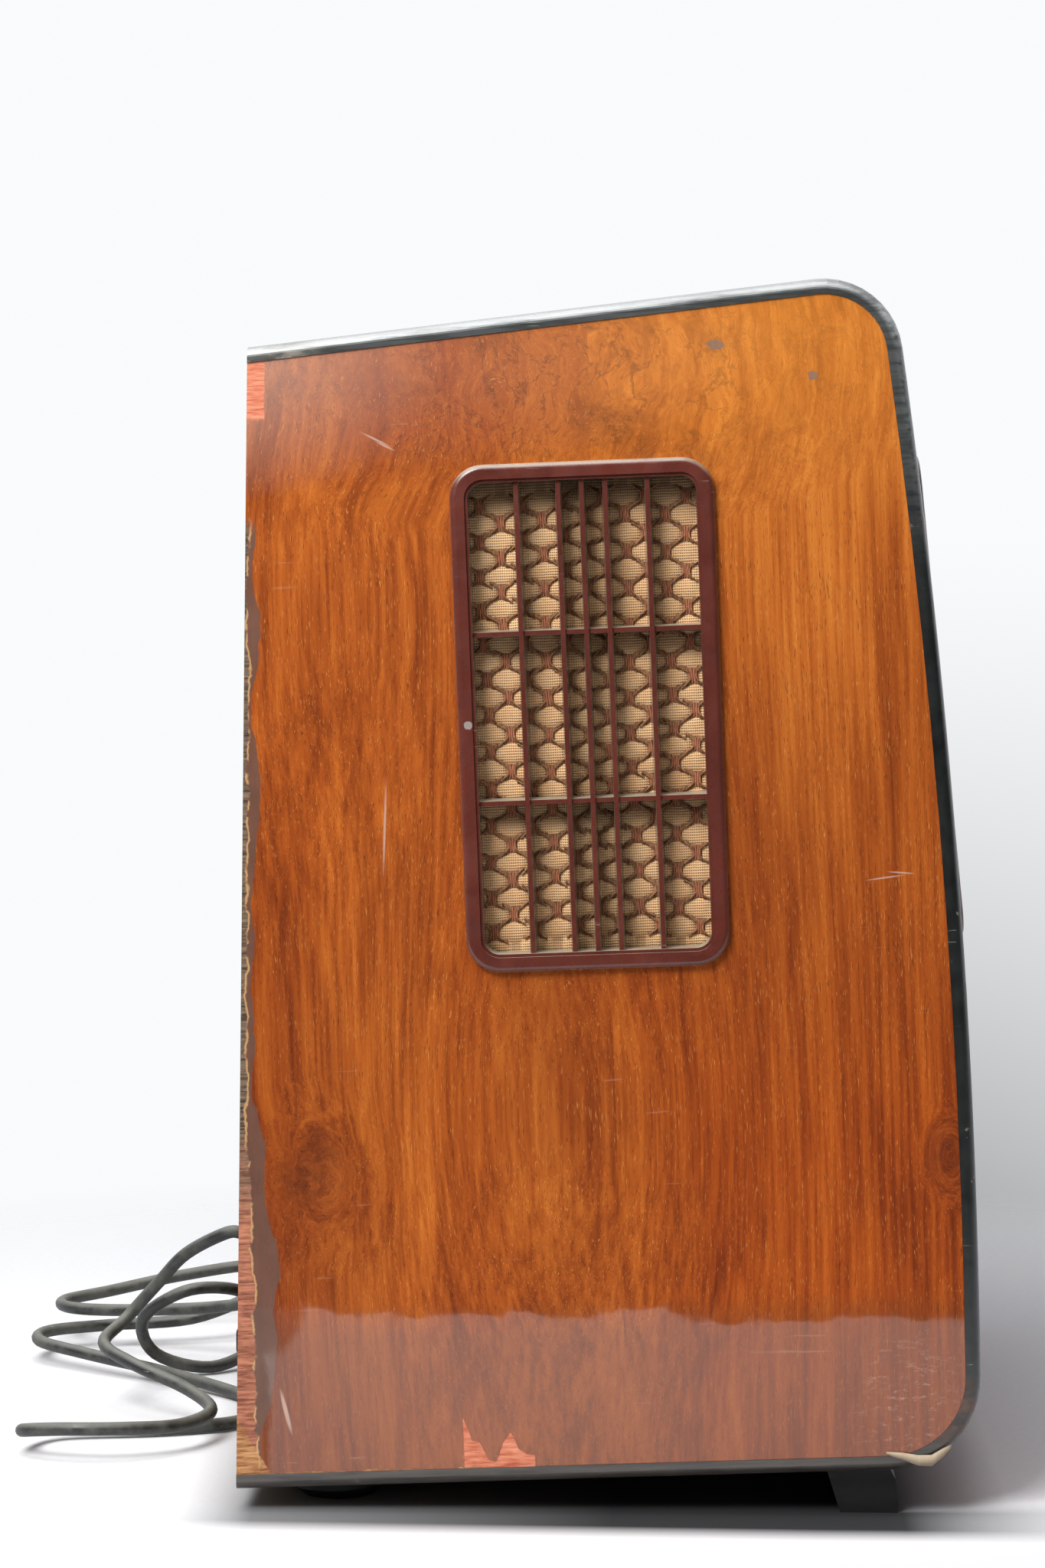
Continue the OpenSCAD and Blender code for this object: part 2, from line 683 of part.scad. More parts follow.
module dial_lamps() color([0.95, 0.9, 0.7]) {
    for (x = [-1, 1] * (dial_plate_w / 2 - 34))
        translate([x, plate_y, dial_z - window_h / 2 + 7]) rotate([90, 0, 0]) {
            cylinder(h = 4, r = 4.5);
            translate([0, 0, 4]) cylinder(h = 2.5, r = 3);
            translate([0, 0, 6]) sphere(3.4);
        }
}

// Rail over the dial plate, on a bracket at either end
module pointer_rail() color("silver") {
    rail_half = pointer_travel + 22;
    translate([-rail_half, rail_y, rail_z]) rotate([0, 90, 0]) cylinder(h = 2 * rail_half, r = rail_r);
    for (x = [-rail_half - 3, rail_half]) {
        translate([x, plate_y + sheet_t, dial_plate_top - 8]) cube([3, 2, rail_z - dial_plate_top + 12]);
        translate([x, rail_y - 3, pulley_z + 4.5]) cube([3, plate_y + sheet_t - rail_y + 5, rail_z - pulley_z - 0.5]);
    }
}

module pointer() color("firebrick") {
    needle_y = plate_y - 5;
    difference() {
        union() {
            translate([-carriage_w / 2, rail_y - 5, rail_z - carriage_h / 2])
                cube([carriage_w, drive_y - rail_y + 8, carriage_h]);
            translate([-carriage_w / 2, needle_y - 0.6, rail_z - carriage_h / 2])
                cube([carriage_w, rail_y - needle_y, carriage_h]);
        }
        translate([-carriage_w, rail_y, rail_z]) rotate([0, 90, 0]) cylinder(h = 2 * carriage_w, r = rail_r + shaft_clear);
        translate([-carriage_w, drive_y, wire_top_z]) rotate([0, 90, 0])
            cylinder(h = 2 * carriage_w, r = drive_wire_r + wire_gap);
    }
    translate([-0.8, needle_y - 0.6, dial_z - window_h / 2 + 6])
        cube([1.6, 1.2, rail_z - dial_z + window_h / 2 - 6]);
}

// Loudspeaker, on the back of the baffle
module on_speaker() {
    on_front(grille_z) translate([0, basket_y, 0]) rearwards() children();
}

module speaker_basket() color("dimgray") {
    wall = 1.5;
    flange_r = speaker_dia / 2;
    windows = 6;
    on_speaker() difference() {
        rotate_extrude($fn = 96) polygon([
            [cone_r - 1, 0], [flange_r, 0], [flange_r, wall], [cone_r + 3, wall], [cone_r + 1, 10],
            [basket_back_r, basket_depth - 8], [basket_back_r, basket_depth], [18, basket_depth],
            [18, basket_depth - wall], [basket_back_r - wall, basket_depth - wall],
            [basket_back_r - wall, basket_depth - 9], [cone_r - 1, 9]
        ]);
        for (a = [0:windows - 1]) rotate(a * 360 / windows) translate([basket_back_r, -14, 18])
            cube([cone_r, 28, basket_depth - 36]);
        for (a = [45:90:315]) rotate(a) translate([speaker_bolt_r, 0, -1]) cylinder(h = 4, r = 2.2);
    }
}

module speaker_cone() color([0.25, 0.22, 0.2]) {
    paper = 1;
    coil_r = 14;
    on_speaker() rotate_extrude($fn = 96) polygon([
        [coil_r, basket_depth - 14], [cone_r - 8, 3], [cone_r - 1.2, 1], [cone_r - 1.2, 1 + paper],
        [cone_r - 7, 3 + paper], [coil_r + paper, basket_depth - 13], [coil_r + paper, basket_depth - 3],
        [coil_r, basket_depth - 3]
    ]);
}

module speaker_magnet() color([0.2, 0.2, 0.22]) {
    pole_r = 12;
    plate = 6;
    on_speaker() translate([0, 0, basket_depth]) rotate_extrude($fn = 72) polygon([
        [18, 0], [magnet_r, 0], [magnet_r, magnet_len], [0, magnet_len], [0, -6], [pole_r, -6],
        [pole_r, magnet_len - plate], [magnet_r - 6, magnet_len - plate], [magnet_r - 6, plate], [18, plate]
    ]);
}

module speaker_bolts() color("silver") {
    on_speaker() for (a = [45:90:315]) rotate(a) translate([speaker_bolt_r, 0, 0]) {
        translate([0, 0, -baffle_t]) cylinder(h = baffle_t + 4.5, r = 2);
        translate([0, 0, 1.5]) cylinder(h = 3, r = 4, $fn = 6);
    }
}

// Chassis
chassis_bolt_x = [-1, 1] * (chassis_w / 2 - sheet_t - 6);
chassis_bolt_y = [chassis_front + 42, chassis_back - 42];
valve_places = [[-142, -216, 44], [2, -88, 40], [60, -72, 32], [118, -72, 32], [150, -148, 32]];
can_places = [[66, -142], [112, -206]];
capacitor_places = [[-54, -72], [-54, -118]];
capacitor_r = 17;
capacitor_h = 82;
mains_place = [-126, -108];
mains_size = [86, 76, 74];
output_place = [-72, -196];
output_size = [50, 42, 44];
valve_hole_r = 14;

module chassis_pan() color([0.72, 0.73, 0.74]) {
    flange = 12;
    difference() {
        translate([-chassis_w / 2, chassis_front, bottom_t]) cube([chassis_w, chassis_d, chassis_h]);
        translate([-chassis_w / 2 + sheet_t, chassis_front + sheet_t, bottom_t - 1])
            cube([chassis_w - 2 * sheet_t, chassis_d - 2 * sheet_t, chassis_h - sheet_t + 1]);
        for (x = knob_x) translate([x, chassis_front - 1, knob_z]) rearwards() cylinder(h = 4, r = bush_r);
        for (p = valve_places) translate([p[0], p[1], chassis_top - 3]) cylinder(h = 6, r = valve_hole_r);
        translate([-socket_strip_w / 2 + 5, chassis_back - 3, socket_z - socket_strip_h / 2 + 5])
            cube([socket_strip_w - 10, 6, socket_strip_h - 10]);
    }
    for (x = [-chassis_w / 2 + sheet_t, chassis_w / 2 - sheet_t - flange]) difference() {
        translate([x, chassis_front + sheet_t, bottom_t]) cube([flange, chassis_d - 2 * sheet_t, sheet_t]);
        for (bx = chassis_bolt_x, by = chassis_bolt_y) translate([bx, by, 0]) cylinder(h = chassis_h, r = 2.5);
    }
}

module chassis_bolts() color("silver") {
    for (x = chassis_bolt_x, y = chassis_bolt_y) translate([x, y, 0]) {
        translate([0, 0, -3]) cylinder(h = 3, r = 5, $fn = 6);
        cylinder(h = bottom_t + sheet_t + 5, r = 2.2);
    }
}

// Laminated core with a wound coil through it
module transformer(w, d, h) {
    core_d = d * 0.5;
    difference() {
        translate([-w / 2, -core_d / 2, 0]) cube([w, core_d, h]);
        for (x = [-1, 1] * w / 4) translate([x - w / 16, -d, h * 0.2]) cube([w / 8, 2 * d, h * 0.6]);
    }
    translate([0, 0, h / 2]) intersection() {
        cube([w * 0.62, d, h * 0.6], center = true);
        cylinder(h = h, r = d * 0.55, center = true);
    }
}

module power_transformer() color([0.3, 0.3, 0.32]) {
    translate([mains_place[0], mains_place[1], chassis_top]) transformer(mains_size[0], mains_size[1], mains_size[2]);
}

module output_transformer() color([0.35, 0.3, 0.28]) {
    translate([output_place[0], output_place[1], chassis_top]) transformer(output_size[0], output_size[1], output_size[2]);
}

module smoothing_capacitors() color("silver") {
    for (p = capacitor_places) translate([p[0], p[1], chassis_top]) {
        cylinder(h = capacitor_h, r = capacitor_r);
        translate([0, 0, capacitor_h]) cylinder(h = 3, r1 = capacitor_r, r2 = capacitor_r - 4);
    }
}

module if_cans() color([0.8, 0.81, 0.82]) {
    for (p = can_places) translate([p[0], p[1], chassis_top]) {
        linear_extrude(78) rounded_rect(36, 36, 5);
        translate([0, 0, 78]) linear_extrude(2) difference() {
            rounded_rect(34, 34, 4);
            circle(3);
        }
    }
}

module valve_sockets() color([0.3, 0.16, 0.1]) {
    for (p = valve_places) translate([p[0], p[1], chassis_top - 8]) difference() {
        union() {
            cylinder(h = 10, r = valve_hole_r);
            translate([0, 0, 8]) cylinder(h = 2.5, r = valve_hole_r + 4);
        }
        for (a = [0:60:300]) rotate(a) translate([8.5, 0, 2]) cylinder(h = 12, r = 1.6, $fn = 16);
    }
}

module valve_bases() color([0.15, 0.12, 0.1]) {
    for (p = valve_places) translate([p[0], p[1], chassis_top + 2.5]) {
        cylinder(h = 26, r = 15);
        for (a = [0:60:300]) rotate(a) translate([8.5, 0, -8]) cylinder(h = 8, r = 1.4, $fn = 16);
    }
}

// Shouldered glass envelopes
module valve_envelopes() color([0.75, 0.82, 0.85, 0.5]) {
    for (p = valve_places) {
        r = p[2] / 2;
        h = 1.9 * p[2];
        translate([p[0], p[1], chassis_top + 28.5]) {
            rotate_extrude($fn = 64) polygon([
                [0, 0], [13, 0], [13, 0.1 * h], [r, 0.45 * h], [r, 0.6 * h], [0.62 * r, 0.78 * h], [0, 0.78 * h]
            ]);
            translate([0, 0, 0.78 * h - 0.01]) intersection() {
                sphere(0.62 * r);
                cylinder(h = r, r = r);
            }
        }
    }
}

// Controls: a threaded bush and its nut hold each one in the front of the chassis
module bush(x, len = bush_len) {
    translate([x, chassis_front - len, knob_z]) rearwards() difference() {
        union() {
            cylinder(h = len + sheet_t, r = bush_r);
            translate([0, 0, len - 3]) cylinder(h = 3, r = 8, $fn = 6);
        }
        translate([0, 0, -1]) cylinder(h = len + sheet_t + 2, r = shaft_r + shaft_clear);
    }
}

module pot(x) {
    back = chassis_front + sheet_t;
    bush(x);
    difference() {
        translate([x, back, knob_z]) rearwards() cylinder(h = shaft_end_y - back + 2, r = pot_r);
        translate([x, back - 1, knob_z]) rearwards() cylinder(h = shaft_end_y - back + 1 + fit_gap, r = shaft_r + shaft_clear);
    }
    for (dx = [-7, 0, 7]) translate([x + dx - 1.5, back + 4, knob_z - pot_r - 6]) cube([3, 0.8, 9]);
}

module volume_and_tone_pots() color("silver") {
    pot(knob_x[0]);
    pot(knob_x[1]);
}

module wave_switch() color([0.6, 0.4, 0.2]) {
    x = knob_x[2];
    back = chassis_front + sheet_t;
    bush(x);
    difference() {
        union() {
            translate([x, back, knob_z]) rearwards() cylinder(h = 3, r = pot_r);
            for (d = [9, 19]) translate([x, back + d, knob_z]) rearwards() cylinder(h = 1.8, r = wafer_r);
            for (dx = [-1, 1] * 11) translate([x + dx, back, knob_z]) rearwards() cylinder(h = 22, r = 2);
        }
        translate([x, back - 1, knob_z]) rearwards() cylinder(h = 26, r = shaft_r + shaft_clear);
    }
}

module tuning_bush() color("goldenrod") {
    bush(knob_x[3], 5);
    translate([knob_x[3], chassis_front + sheet_t, knob_z]) rearwards() difference() {
        cylinder(h = 3, r = 8);
        translate([0, 0, -1]) cylinder(h = 5, r = shaft_r + shaft_clear);
    }
}

module shaft(x, end_y) {
    front = knob_front_y + 4;
    translate([x, front, knob_z]) rearwards() cylinder(h = end_y - front, r = shaft_r);
}

module volume_shaft() color("silver") shaft(knob_x[0], shaft_end_y);
module tone_shaft() color("silver") shaft(knob_x[1], shaft_end_y);
module wave_shaft() color("silver") shaft(knob_x[2], shaft_end_y);

// The cord runs on a waist of the tuning spindle, between two collars
module tuning_spindle() color("silver") {
    waist_r = spindle_r - drive_wire_r - wire_gap;
    waist = 6;
    x = knob_x[3];
    difference() {
        shaft(x, chassis_front + 8);
        translate([x, drive_y - waist / 2, knob_z]) rearwards() cylinder(h = waist, r = shaft_r + 1);
    }
    translate([x, drive_y - waist / 2, knob_z]) rearwards() cylinder(h = waist, r = waist_r);
    for (y = [drive_y - waist / 2 - 1.5, drive_y + waist / 2])
        translate([x, y, knob_z]) rearwards() cylinder(h = 1.5, r = spindle_r + 3);
}

// Knob with a fluted skirt, a shoulder and a slightly sunk face
module knob(x) {
    skirt = 10;
    flute_r = 1.5;
    flutes = 28;
    r = knob_dia / 2;
    translate([x, knob_back_y, knob_z]) rotate([90, 0, 0]) difference() {
        rotate_extrude($fn = 96) polygon([
            [shaft_r, 0], [r - 1, 0], [r, 1], [r, skirt - 2], [r - 2, skirt], [knob_face_r, knob_len - 2],
            [knob_face_r, knob_len], [knob_face_r - 2, knob_len], [knob_face_r - 3, knob_len - 1],
            [0, knob_len - 1], [0, knob_len - 4], [shaft_r, knob_len - 4]
        ]);
        for (a = [0:flutes - 1]) rotate(a * 360 / flutes) translate([r + flute_r * 0.45, 0, -1])
            cylinder(h = skirt + 1, r = flute_r, $fn = 24);
    }
}

module volume_knob() color([0.36, 0.17, 0.14]) knob(knob_x[0]);
module tone_knob() color([0.36, 0.17, 0.14]) knob(knob_x[1]);
module wave_knob() color([0.36, 0.17, 0.14]) knob(knob_x[2]);
module tuning_knob() color([0.36, 0.17, 0.14]) knob(knob_x[3]);

// Tuning capacitor: fixed plates in a frame, and half-round plates on a shaft between them
module gang_frame() color([0.75, 0.76, 0.77]) {
    end_t = 2;
    half = 38;
    low = drum_z - rotor_r - 12;
    high = drum_z + 14;
    for (y = [gang_front_y, gang_front_y + gang_len - end_t]) difference() {
        translate([-half, y, low - end_t]) cube([2 * half, end_t, high - low + end_t]);
        translate([0, y - 1, drum_z]) rearwards() cylinder(h = end_t + 2, r = gang_shaft_r + shaft_clear);
    }
    translate([-half, gang_front_y, low - end_t]) cube([2 * half, gang_len, end_t]);
    for (x = [-1, 1] * (half - 8), y = [gang_front_y + 8, gang_front_y + gang_len - 8])
        translate([x, y, chassis_top]) cylinder(h = low - chassis_top, r = 4);
    for (x = [-1, 1] * (rotor_r + 5)) translate([x, gang_front_y, drum_z - 12]) rearwards()
        cylinder(h = gang_len, r = 2.5);
    for (i = [0:plates]) translate([0, gang_front_y + 20 + i * plate_pitch, drum_z]) rotate([90, 0, 0])
        linear_extrude(plate_t) difference() {
            intersection() {
                circle(rotor_r + 8, $fn = 72);
                translate([-half, -half - 1.5]) square([2 * half, half]);
            }
            circle(gang_shaft_r + 3);
        }
}

module gang_rotor() color("silver") {
    front = drive_y - drum_w / 2 - 2;
    translate([0, front, drum_z]) rearwards() cylinder(h = gang_front_y + gang_len + 2 - front, r = gang_shaft_r);
    for (i = [0:plates - 1])
        translate([0, gang_front_y + 20 + (i + 0.5) * plate_pitch, drum_z]) rotate([90, 0, 0])
            linear_extrude(plate_t) intersection() {
                circle(rotor_r, $fn = 72);
                translate([gang_shaft_r - 4, -rotor_r]) square([rotor_r + 4, 2 * rotor_r]);
            }
}

module drive_drum() color([0.85, 0.82, 0.7]) {
    groove_r = drum_r - drive_wire_r - wire_gap;
    hub = 8;
    translate([0, drive_y - drum_w / 2, drum_z]) rearwards() difference() {
        rotate_extrude($fn = 128) polygon([
            [gang_shaft_r, 0], [hub, 0], [hub, 2.5], [drum_r - 6, 2.5], [drum_r - 6, 0], [drum_r + 1.5, 0],
            [groove_r, 2.4], [groove_r, drum_w - 2.4], [drum_r + 1.5, drum_w], [drum_r - 6, drum_w],
            [drum_r - 6, drum_w - 2.5], [hub, drum_w - 2.5], [hub, drum_w], [gang_shaft_r, drum_w]
        ]);
        for (a = [30:60:330]) rotate(a) translate([drum_r * 0.5, 0, -1]) cylinder(h = drum_w + 2, r = 9);
    }
}

module cord_pulley(x) {
    translate([x, drive_y - pulley_w / 2, pulley_z]) rearwards() rotate_extrude($fn = 64) polygon([
        [pulley_pin_r + shaft_clear, 0], [pulley_r + 1.5, 0], [pulley_r - 0.8, 2], [pulley_r - 0.8, 3],
        [pulley_r + 1.5, pulley_w], [pulley_pin_r + shaft_clear, pulley_w]
    ]);
}

module cord_pulley_left() color("goldenrod") cord_pulley(-pulley_x);
module cord_pulley_right() color("goldenrod") cord_pulley(pulley_x);

// A tangent from one wheel to the next: wheels are [x, z, signed radius], and the wire passes with
// each wheel of positive radius on its right
function wire_normal(a, b) =
    let (d = [b[0] - a[0], b[1] - a[1]], n = norm(d), u = d / n, s = (a[2] - b[2]) / n)
    s * u + sqrt(1 - s * s) * [-u[1], u[0]];
function wire_point(a, normal) = [a[0], a[1]] + a[2] * normal;

module drive_cord() color("tan") {
    wheels = [[-pulley_x, pulley_z, pulley_r], [pulley_x, pulley_z, pulley_r], [knob_x[3], knob_z, spindle_r],
              [0, drum_z, drum_r]];
    count = len(wheels);
    joint = 0.02;
    for (i = [0:count - 1]) {
        a = wheels[i];
        b = wheels[(i + 1) % count];
        normal = wire_normal(a, b);
        from = wire_point(a, normal);
        to = wire_point(b, normal);
        translate([from[0], drive_y, from[1]]) rotate([0, 90 - atan2(to[1] - from[1], to[0] - from[0]), 0])
            translate([0, 0, joint]) cylinder(h = norm(to - from) - 2 * joint, r = drive_wire_r, $fn = 16);
        before = wire_normal(wheels[(i + count - 1) % count], a);
        arc_from = angle_of(normal);
        arc = (angle_of(before) - arc_from + 360) % 360;
        translate([a[0], drive_y, a[1]]) rotate([90, 0, 0]) rotate_extrude(start = arc_from, angle = arc, $fn = 64)
            translate([a[2], 0]) circle(drive_wire_r, $fn = 16);
    }
}

// Back
module back_cover() color([0.55, 0.4, 0.26]) {
    half = inner_x - fit_gap;
    vent_w = 4;
    vent_h = 26;
    vent_rows = [150, 190, 330, 370, 410, 450];
    vent_half = 9;
    on_rear() difference() {
        translate([-half, cover_y, cover_bottom]) cube([2 * half, back_t, cover_top - cover_bottom]);
        for (z = vent_rows, i = [-vent_half:vent_half])
            translate([i * 16 - vent_w / 2, cover_y - 1, z - vent_h / 2]) cube([vent_w, back_t + 2, vent_h]);
        translate([-cover_window[0] / 2, cover_y - 1, socket_z - cover_window[1] / 2])
            cube([cover_window[0], back_t + 2, cover_window[1]]);
        translate([cord_exit_x, cover_y - 1, cord_exit_z]) rearwards() cylinder(h = back_t + 2, r = 8);
        for (x = screw_x, z = screw_z) translate([x, cover_y - 1, z]) rearwards() cylinder(h = back_t + 2, r = 2);
    }
}
screw_x = [-1, 1] * (inner_x - batten_w / 2);
screw_z = [cover_bottom + 24, (cover_bottom + cover_top) / 2, cover_top - 34];

module back_screws() color("goldenrod") {
    screw_len = 12;
    on_rear() for (x = screw_x, z = screw_z) translate([x, -back_recess, z]) rearwards() {
        difference() {
            intersection() {
                cylinder(h = 2.2, r = 4);
                translate([0, 0, -3]) sphere(5.2);
            }
            translate([-4, -0.5, 1.4]) cube([8, 1, 2]);
        }
        translate([0, 0, -back_t]) cylinder(h = back_t, r = 1.9);
    }
}

module aerial_earth_sockets() color([0.45, 0.25, 0.12]) {
    strip_t = 2;
    translate([0, chassis_back, socket_z]) difference() {
        union() {
            translate([-socket_strip_w / 2, 0, -socket_strip_h / 2]) cube([socket_strip_w, strip_t, socket_strip_h]);
            for (x = socket_x) translate([x, -socket_len + strip_t + 2, 0]) rearwards()
                cylinder(h = socket_len, r = socket_bore / 2 + 1.5);
        }
        for (x = socket_x) translate([x, -socket_len, 0]) rearwards()
            cylinder(h = socket_len * 2, r = socket_bore / 2);
    }
}

module cord_grommet() color([0.1, 0.1, 0.1]) {
    flange = 2.5;
    on_rear() translate([cord_exit_x, 0, cord_exit_z]) rearwards() {
        translate([0, 0, cover_y]) cylinder(h = back_t, r = 8);
        translate([0, 0, -back_recess]) cylinder(h = flange, r = 10);
        translate([0, 0, cover_y - flange]) cylinder(h = flange, r = 10);
        translate([0, 0, -back_recess + flange]) cylinder(h = relief_len, r1 = 6.5, r2 = cord_dia / 2 + 0.8);
    }
}

// Where the cord leaves its strain relief, in the frame of the table
grommet_out = -back_recess + 2.5 + relief_len;
function lean(p, a) = [p[0], p[1] * cos(a) - p[2] * sin(a), p[1] * sin(a) + p[2] * cos(a)];
exit_in_cabinet = lean([cord_exit_x, grommet_out, cord_exit_z], rear_lean);
cord_start = lean(exit_in_cabinet, -stance) + [0, shift_y, rear_gap];
exit_dir = lean([0, 1, 0], rear_lean - stance);
cord_points = concat([cord_start, cord_start + 9 * exit_dir], [for (p = cord_route) p + [0, shift_y, 0]], [plug_at]);

// Smooth curve through the points of the route
function spline(a, b, c, d, t) =
    0.5 * (2 * b + t * (c - a) + t * t * (2 * a - 5 * b + 4 * c - d) + t ^ 3 * (3 * b - a - 3 * c + d));
function cord_line(p) = [
    for (i = [0:len(p) - 2])
        let (a = i == 0 ? 2 * p[0] - p[1] : p[i - 1], d = i == len(p) - 2 ? 2 * p[i + 1] - p[i] : p[i + 2])
        for (s = [0:cord_steps - 1]) spline(a, p[i], p[i + 1], d, s / cord_steps),
    p[len(p) - 1]
];
function unit(v) = v / norm(v);
function along(p, i) = unit(p[min(i + 1, len(p) - 1)] - p[max(i - 1, 0)]);
function carried(p, i, side) = i == 0 ? side : let (s = carried(p, i - 1, side), t = along(p, i)) unit(s - (s * t) * t);

module mains_cord() color([0.16, 0.17, 0.17]) {
    line = cord_line(cord_points);
    last = len(line) - 1;
    sides = [for (i = 0, s = [1, 0, 0]; i <= last; i = i + 1,
                  s = i > last ? s : unit(s - (s * along(line, i)) * along(line, i))) s];
    rings = [for (i = [0:last]) let (t = i == 0 ? exit_dir : i == last ? [1, 0, 0] : along(line, i),
                                     u = unit(sides[i] - (sides[i] * t) * t), v = cross(t, u))
        for (k = [0:cord_sides - 1]) line[i] + cord_dia / 2 * (cos(k * 360 / cord_sides) * u + sin(k * 360 / cord_sides) * v)];
    swept(rings, cord_sides);
}

// Two-pin plug lying on the table: a tapered neck and a rounded body
module mains_plug() color([0.12, 0.12, 0.12]) {
    neck = 10;
    body_w = pin_pitch + 14;
    body_t = 2 * plug_at[2] - 2;
    translate(plug_at) {
        rotate([0, 90, 0]) cylinder(h = neck, r1 = cord_dia / 2 + 1, r2 = cord_dia / 2 + 3);
        translate([neck, 0, 0]) rotate([90, 0, 90]) linear_extrude(plug_len - neck)
            rounded_rect(body_w, body_t, 6);
    }
}

module plug_pins() color("goldenrod") {
    translate(plug_at) for (y = [-1, 1] * pin_pitch / 2) translate([plug_len, y, 0]) rotate([0, 90, 0])
        cylinder(h = pin_len, r = pin_dia / 2);
}

standing() side_panel_left();
standing() side_panel_right();
standing() wrap_shell();
standing() bottom_board();
standing() edge_moulding_left();
standing() edge_moulding_right();
front_foot_rail();
rear_feet();
standing() battens();
standing() side_grille_left();
standing() side_grille_right();
standing() side_cloth_left();
standing() side_cloth_right();
standing() side_cloth_boards();
standing() front_grille();
standing() front_cloth();
standing() speaker_baffle();
standing() dial_escutcheon();
standing() dial_glass();
standing() dial_plate();
standing() dial_lamps();
standing() pointer_rail();
standing() pointer();
standing() speaker_basket();
standing() speaker_cone();
standing() speaker_magnet();
standing() speaker_bolts();
standing() chassis_pan();
standing() chassis_bolts();
standing() power_transformer();
standing() smoothing_capacitors();
standing() if_cans();
standing() valve_sockets();
standing() valve_bases();
standing() valve_envelopes();
standing() output_transformer();
standing() volume_and_tone_pots();
standing() wave_switch();
standing() tuning_bush();
standing() volume_shaft();
standing() tone_shaft();
standing() wave_shaft();
standing() tuning_spindle();
standing() volume_knob();
standing() tone_knob();
standing() wave_knob();
standing() tuning_knob();
standing() gang_frame();
standing() gang_rotor();
standing() drive_drum();
standing() cord_pulley_left();
standing() cord_pulley_right();
standing() drive_cord();
standing() back_cover();
standing() back_screws();
standing() aerial_earth_sockets();
standing() cord_grommet();
mains_cord();
mains_plug();
plug_pins();
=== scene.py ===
# %% [markdown]
# # An old table radio, seen from its side
# The radio is a veneered wooden box that leans back a little on its feet. Its solids are finished and
# come in as a fixed frame: every piece already lies where it belongs, in metres. What is left is the
# part that makes it look old and real: lacquer over wood, a grille cloth with its tied folds, dust on
# the ledges of the grille, a scale behind the dial glass, and a rubber cord that lies in loose loops.

# %% load the frame
import bpy
import json
import math
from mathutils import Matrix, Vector


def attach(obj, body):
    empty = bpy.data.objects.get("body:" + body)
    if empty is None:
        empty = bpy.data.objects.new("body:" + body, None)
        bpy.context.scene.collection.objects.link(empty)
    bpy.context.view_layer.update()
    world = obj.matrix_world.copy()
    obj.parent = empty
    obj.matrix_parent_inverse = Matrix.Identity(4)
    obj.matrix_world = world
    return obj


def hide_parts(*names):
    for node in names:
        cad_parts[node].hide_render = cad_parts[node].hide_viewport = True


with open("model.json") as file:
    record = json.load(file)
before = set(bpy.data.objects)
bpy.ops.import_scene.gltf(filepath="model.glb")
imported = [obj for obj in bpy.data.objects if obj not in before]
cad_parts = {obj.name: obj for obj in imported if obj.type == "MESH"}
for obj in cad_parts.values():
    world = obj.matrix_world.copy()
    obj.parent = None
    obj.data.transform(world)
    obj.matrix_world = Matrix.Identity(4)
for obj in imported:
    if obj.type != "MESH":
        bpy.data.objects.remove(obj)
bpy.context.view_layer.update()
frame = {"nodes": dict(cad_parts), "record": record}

# %% [markdown]
# ## Camera
# The photograph was taken nearly square on to the side, with a long lens, from a little above the
# middle. The place, the direction and the lens were worked out from the edges of the side panel, which
# is flat and has a known size, so the outline in the render falls on the outline in the photograph.

# %% camera
camera_data = bpy.data.cameras.new("camera")
camera_data.sensor_fit = "VERTICAL"
camera_data.sensor_height = 36
camera_data.lens = 85.0
camera = bpy.data.objects.new("camera", camera_data)
bpy.context.scene.collection.objects.link(camera)
camera.location = (-1.8534, -0.0212, 0.4224)
camera.rotation_euler = [math.radians(a) for a in (86.722, 0, -87.841)]
bpy.context.scene.camera = camera
bpy.context.scene.view_settings.view_transform = "Standard"
print("camera looks along", [round(v, 3) for v in camera.matrix_basis.to_3x3() @ Vector((0, 0, -1))])

# %% [markdown]
# ## Mains cord
# The cord is round rubber flex, 6.5 mm thick. It leaves a tapered sleeve in the back, drops to the
# table and lies there in loose loops. A cord could be simulated, but the photograph shows nearly every
# strand, so its route is a row of given points, with a smooth curve through them. The last bit
# runs behind the cabinet to its plug.

# %% cord
REAR = 0.169463
CORD_D = 0.0065
SLEEVE_END = 0.009
cord_exit = (-0.008, 0.188858, 0.0892785)
cord_way = (0, 0.9999, 0.01396)
plug_end = (0.092, REAR + 0.020, 0.011)
# Millimetres: across, behind the rear face and above the table
cord_points = [
    (2, 50, 77), (9, 65, 61), (9, 82, 42), (-14, 90, 34), (-35, 72, 28), (-52, 44, 20), (-78, 28, 15),
    (-106, 40, 14), (-123, 66, 16), (-125, 94, 16), (-111, 115, 12), (-82, 103, 6), (-71, 54, 4),
    (-56, 19, 4), (-28, 7, 4), (4, 22, 4), (42, 66, 7), (74, 114, 10), (95, 141, 12), (121, 140, 12),
    (138, 110, 12), (147, 66, 14), (159, 32, 25), (187, 10, 30), (204, 36, 33), (198, 78, 28),
    (183, 116, 22), (160, 138, 21), (135, 131, 22), (119, 100, 24), (98, 50, 30), (70, 22, 40),
    (44, 34, 51), (34, 56, 51), (42, 78, 35), (60, 74, 13), (70, 46, 4),
]
route = [Vector(cord_exit), Vector(cord_exit) + SLEEVE_END * Vector(cord_way)]
route += [Vector((x / 1000, REAR + y / 1000, z / 1000)) for x, y, z in cord_points]
route.append(Vector(plug_end))


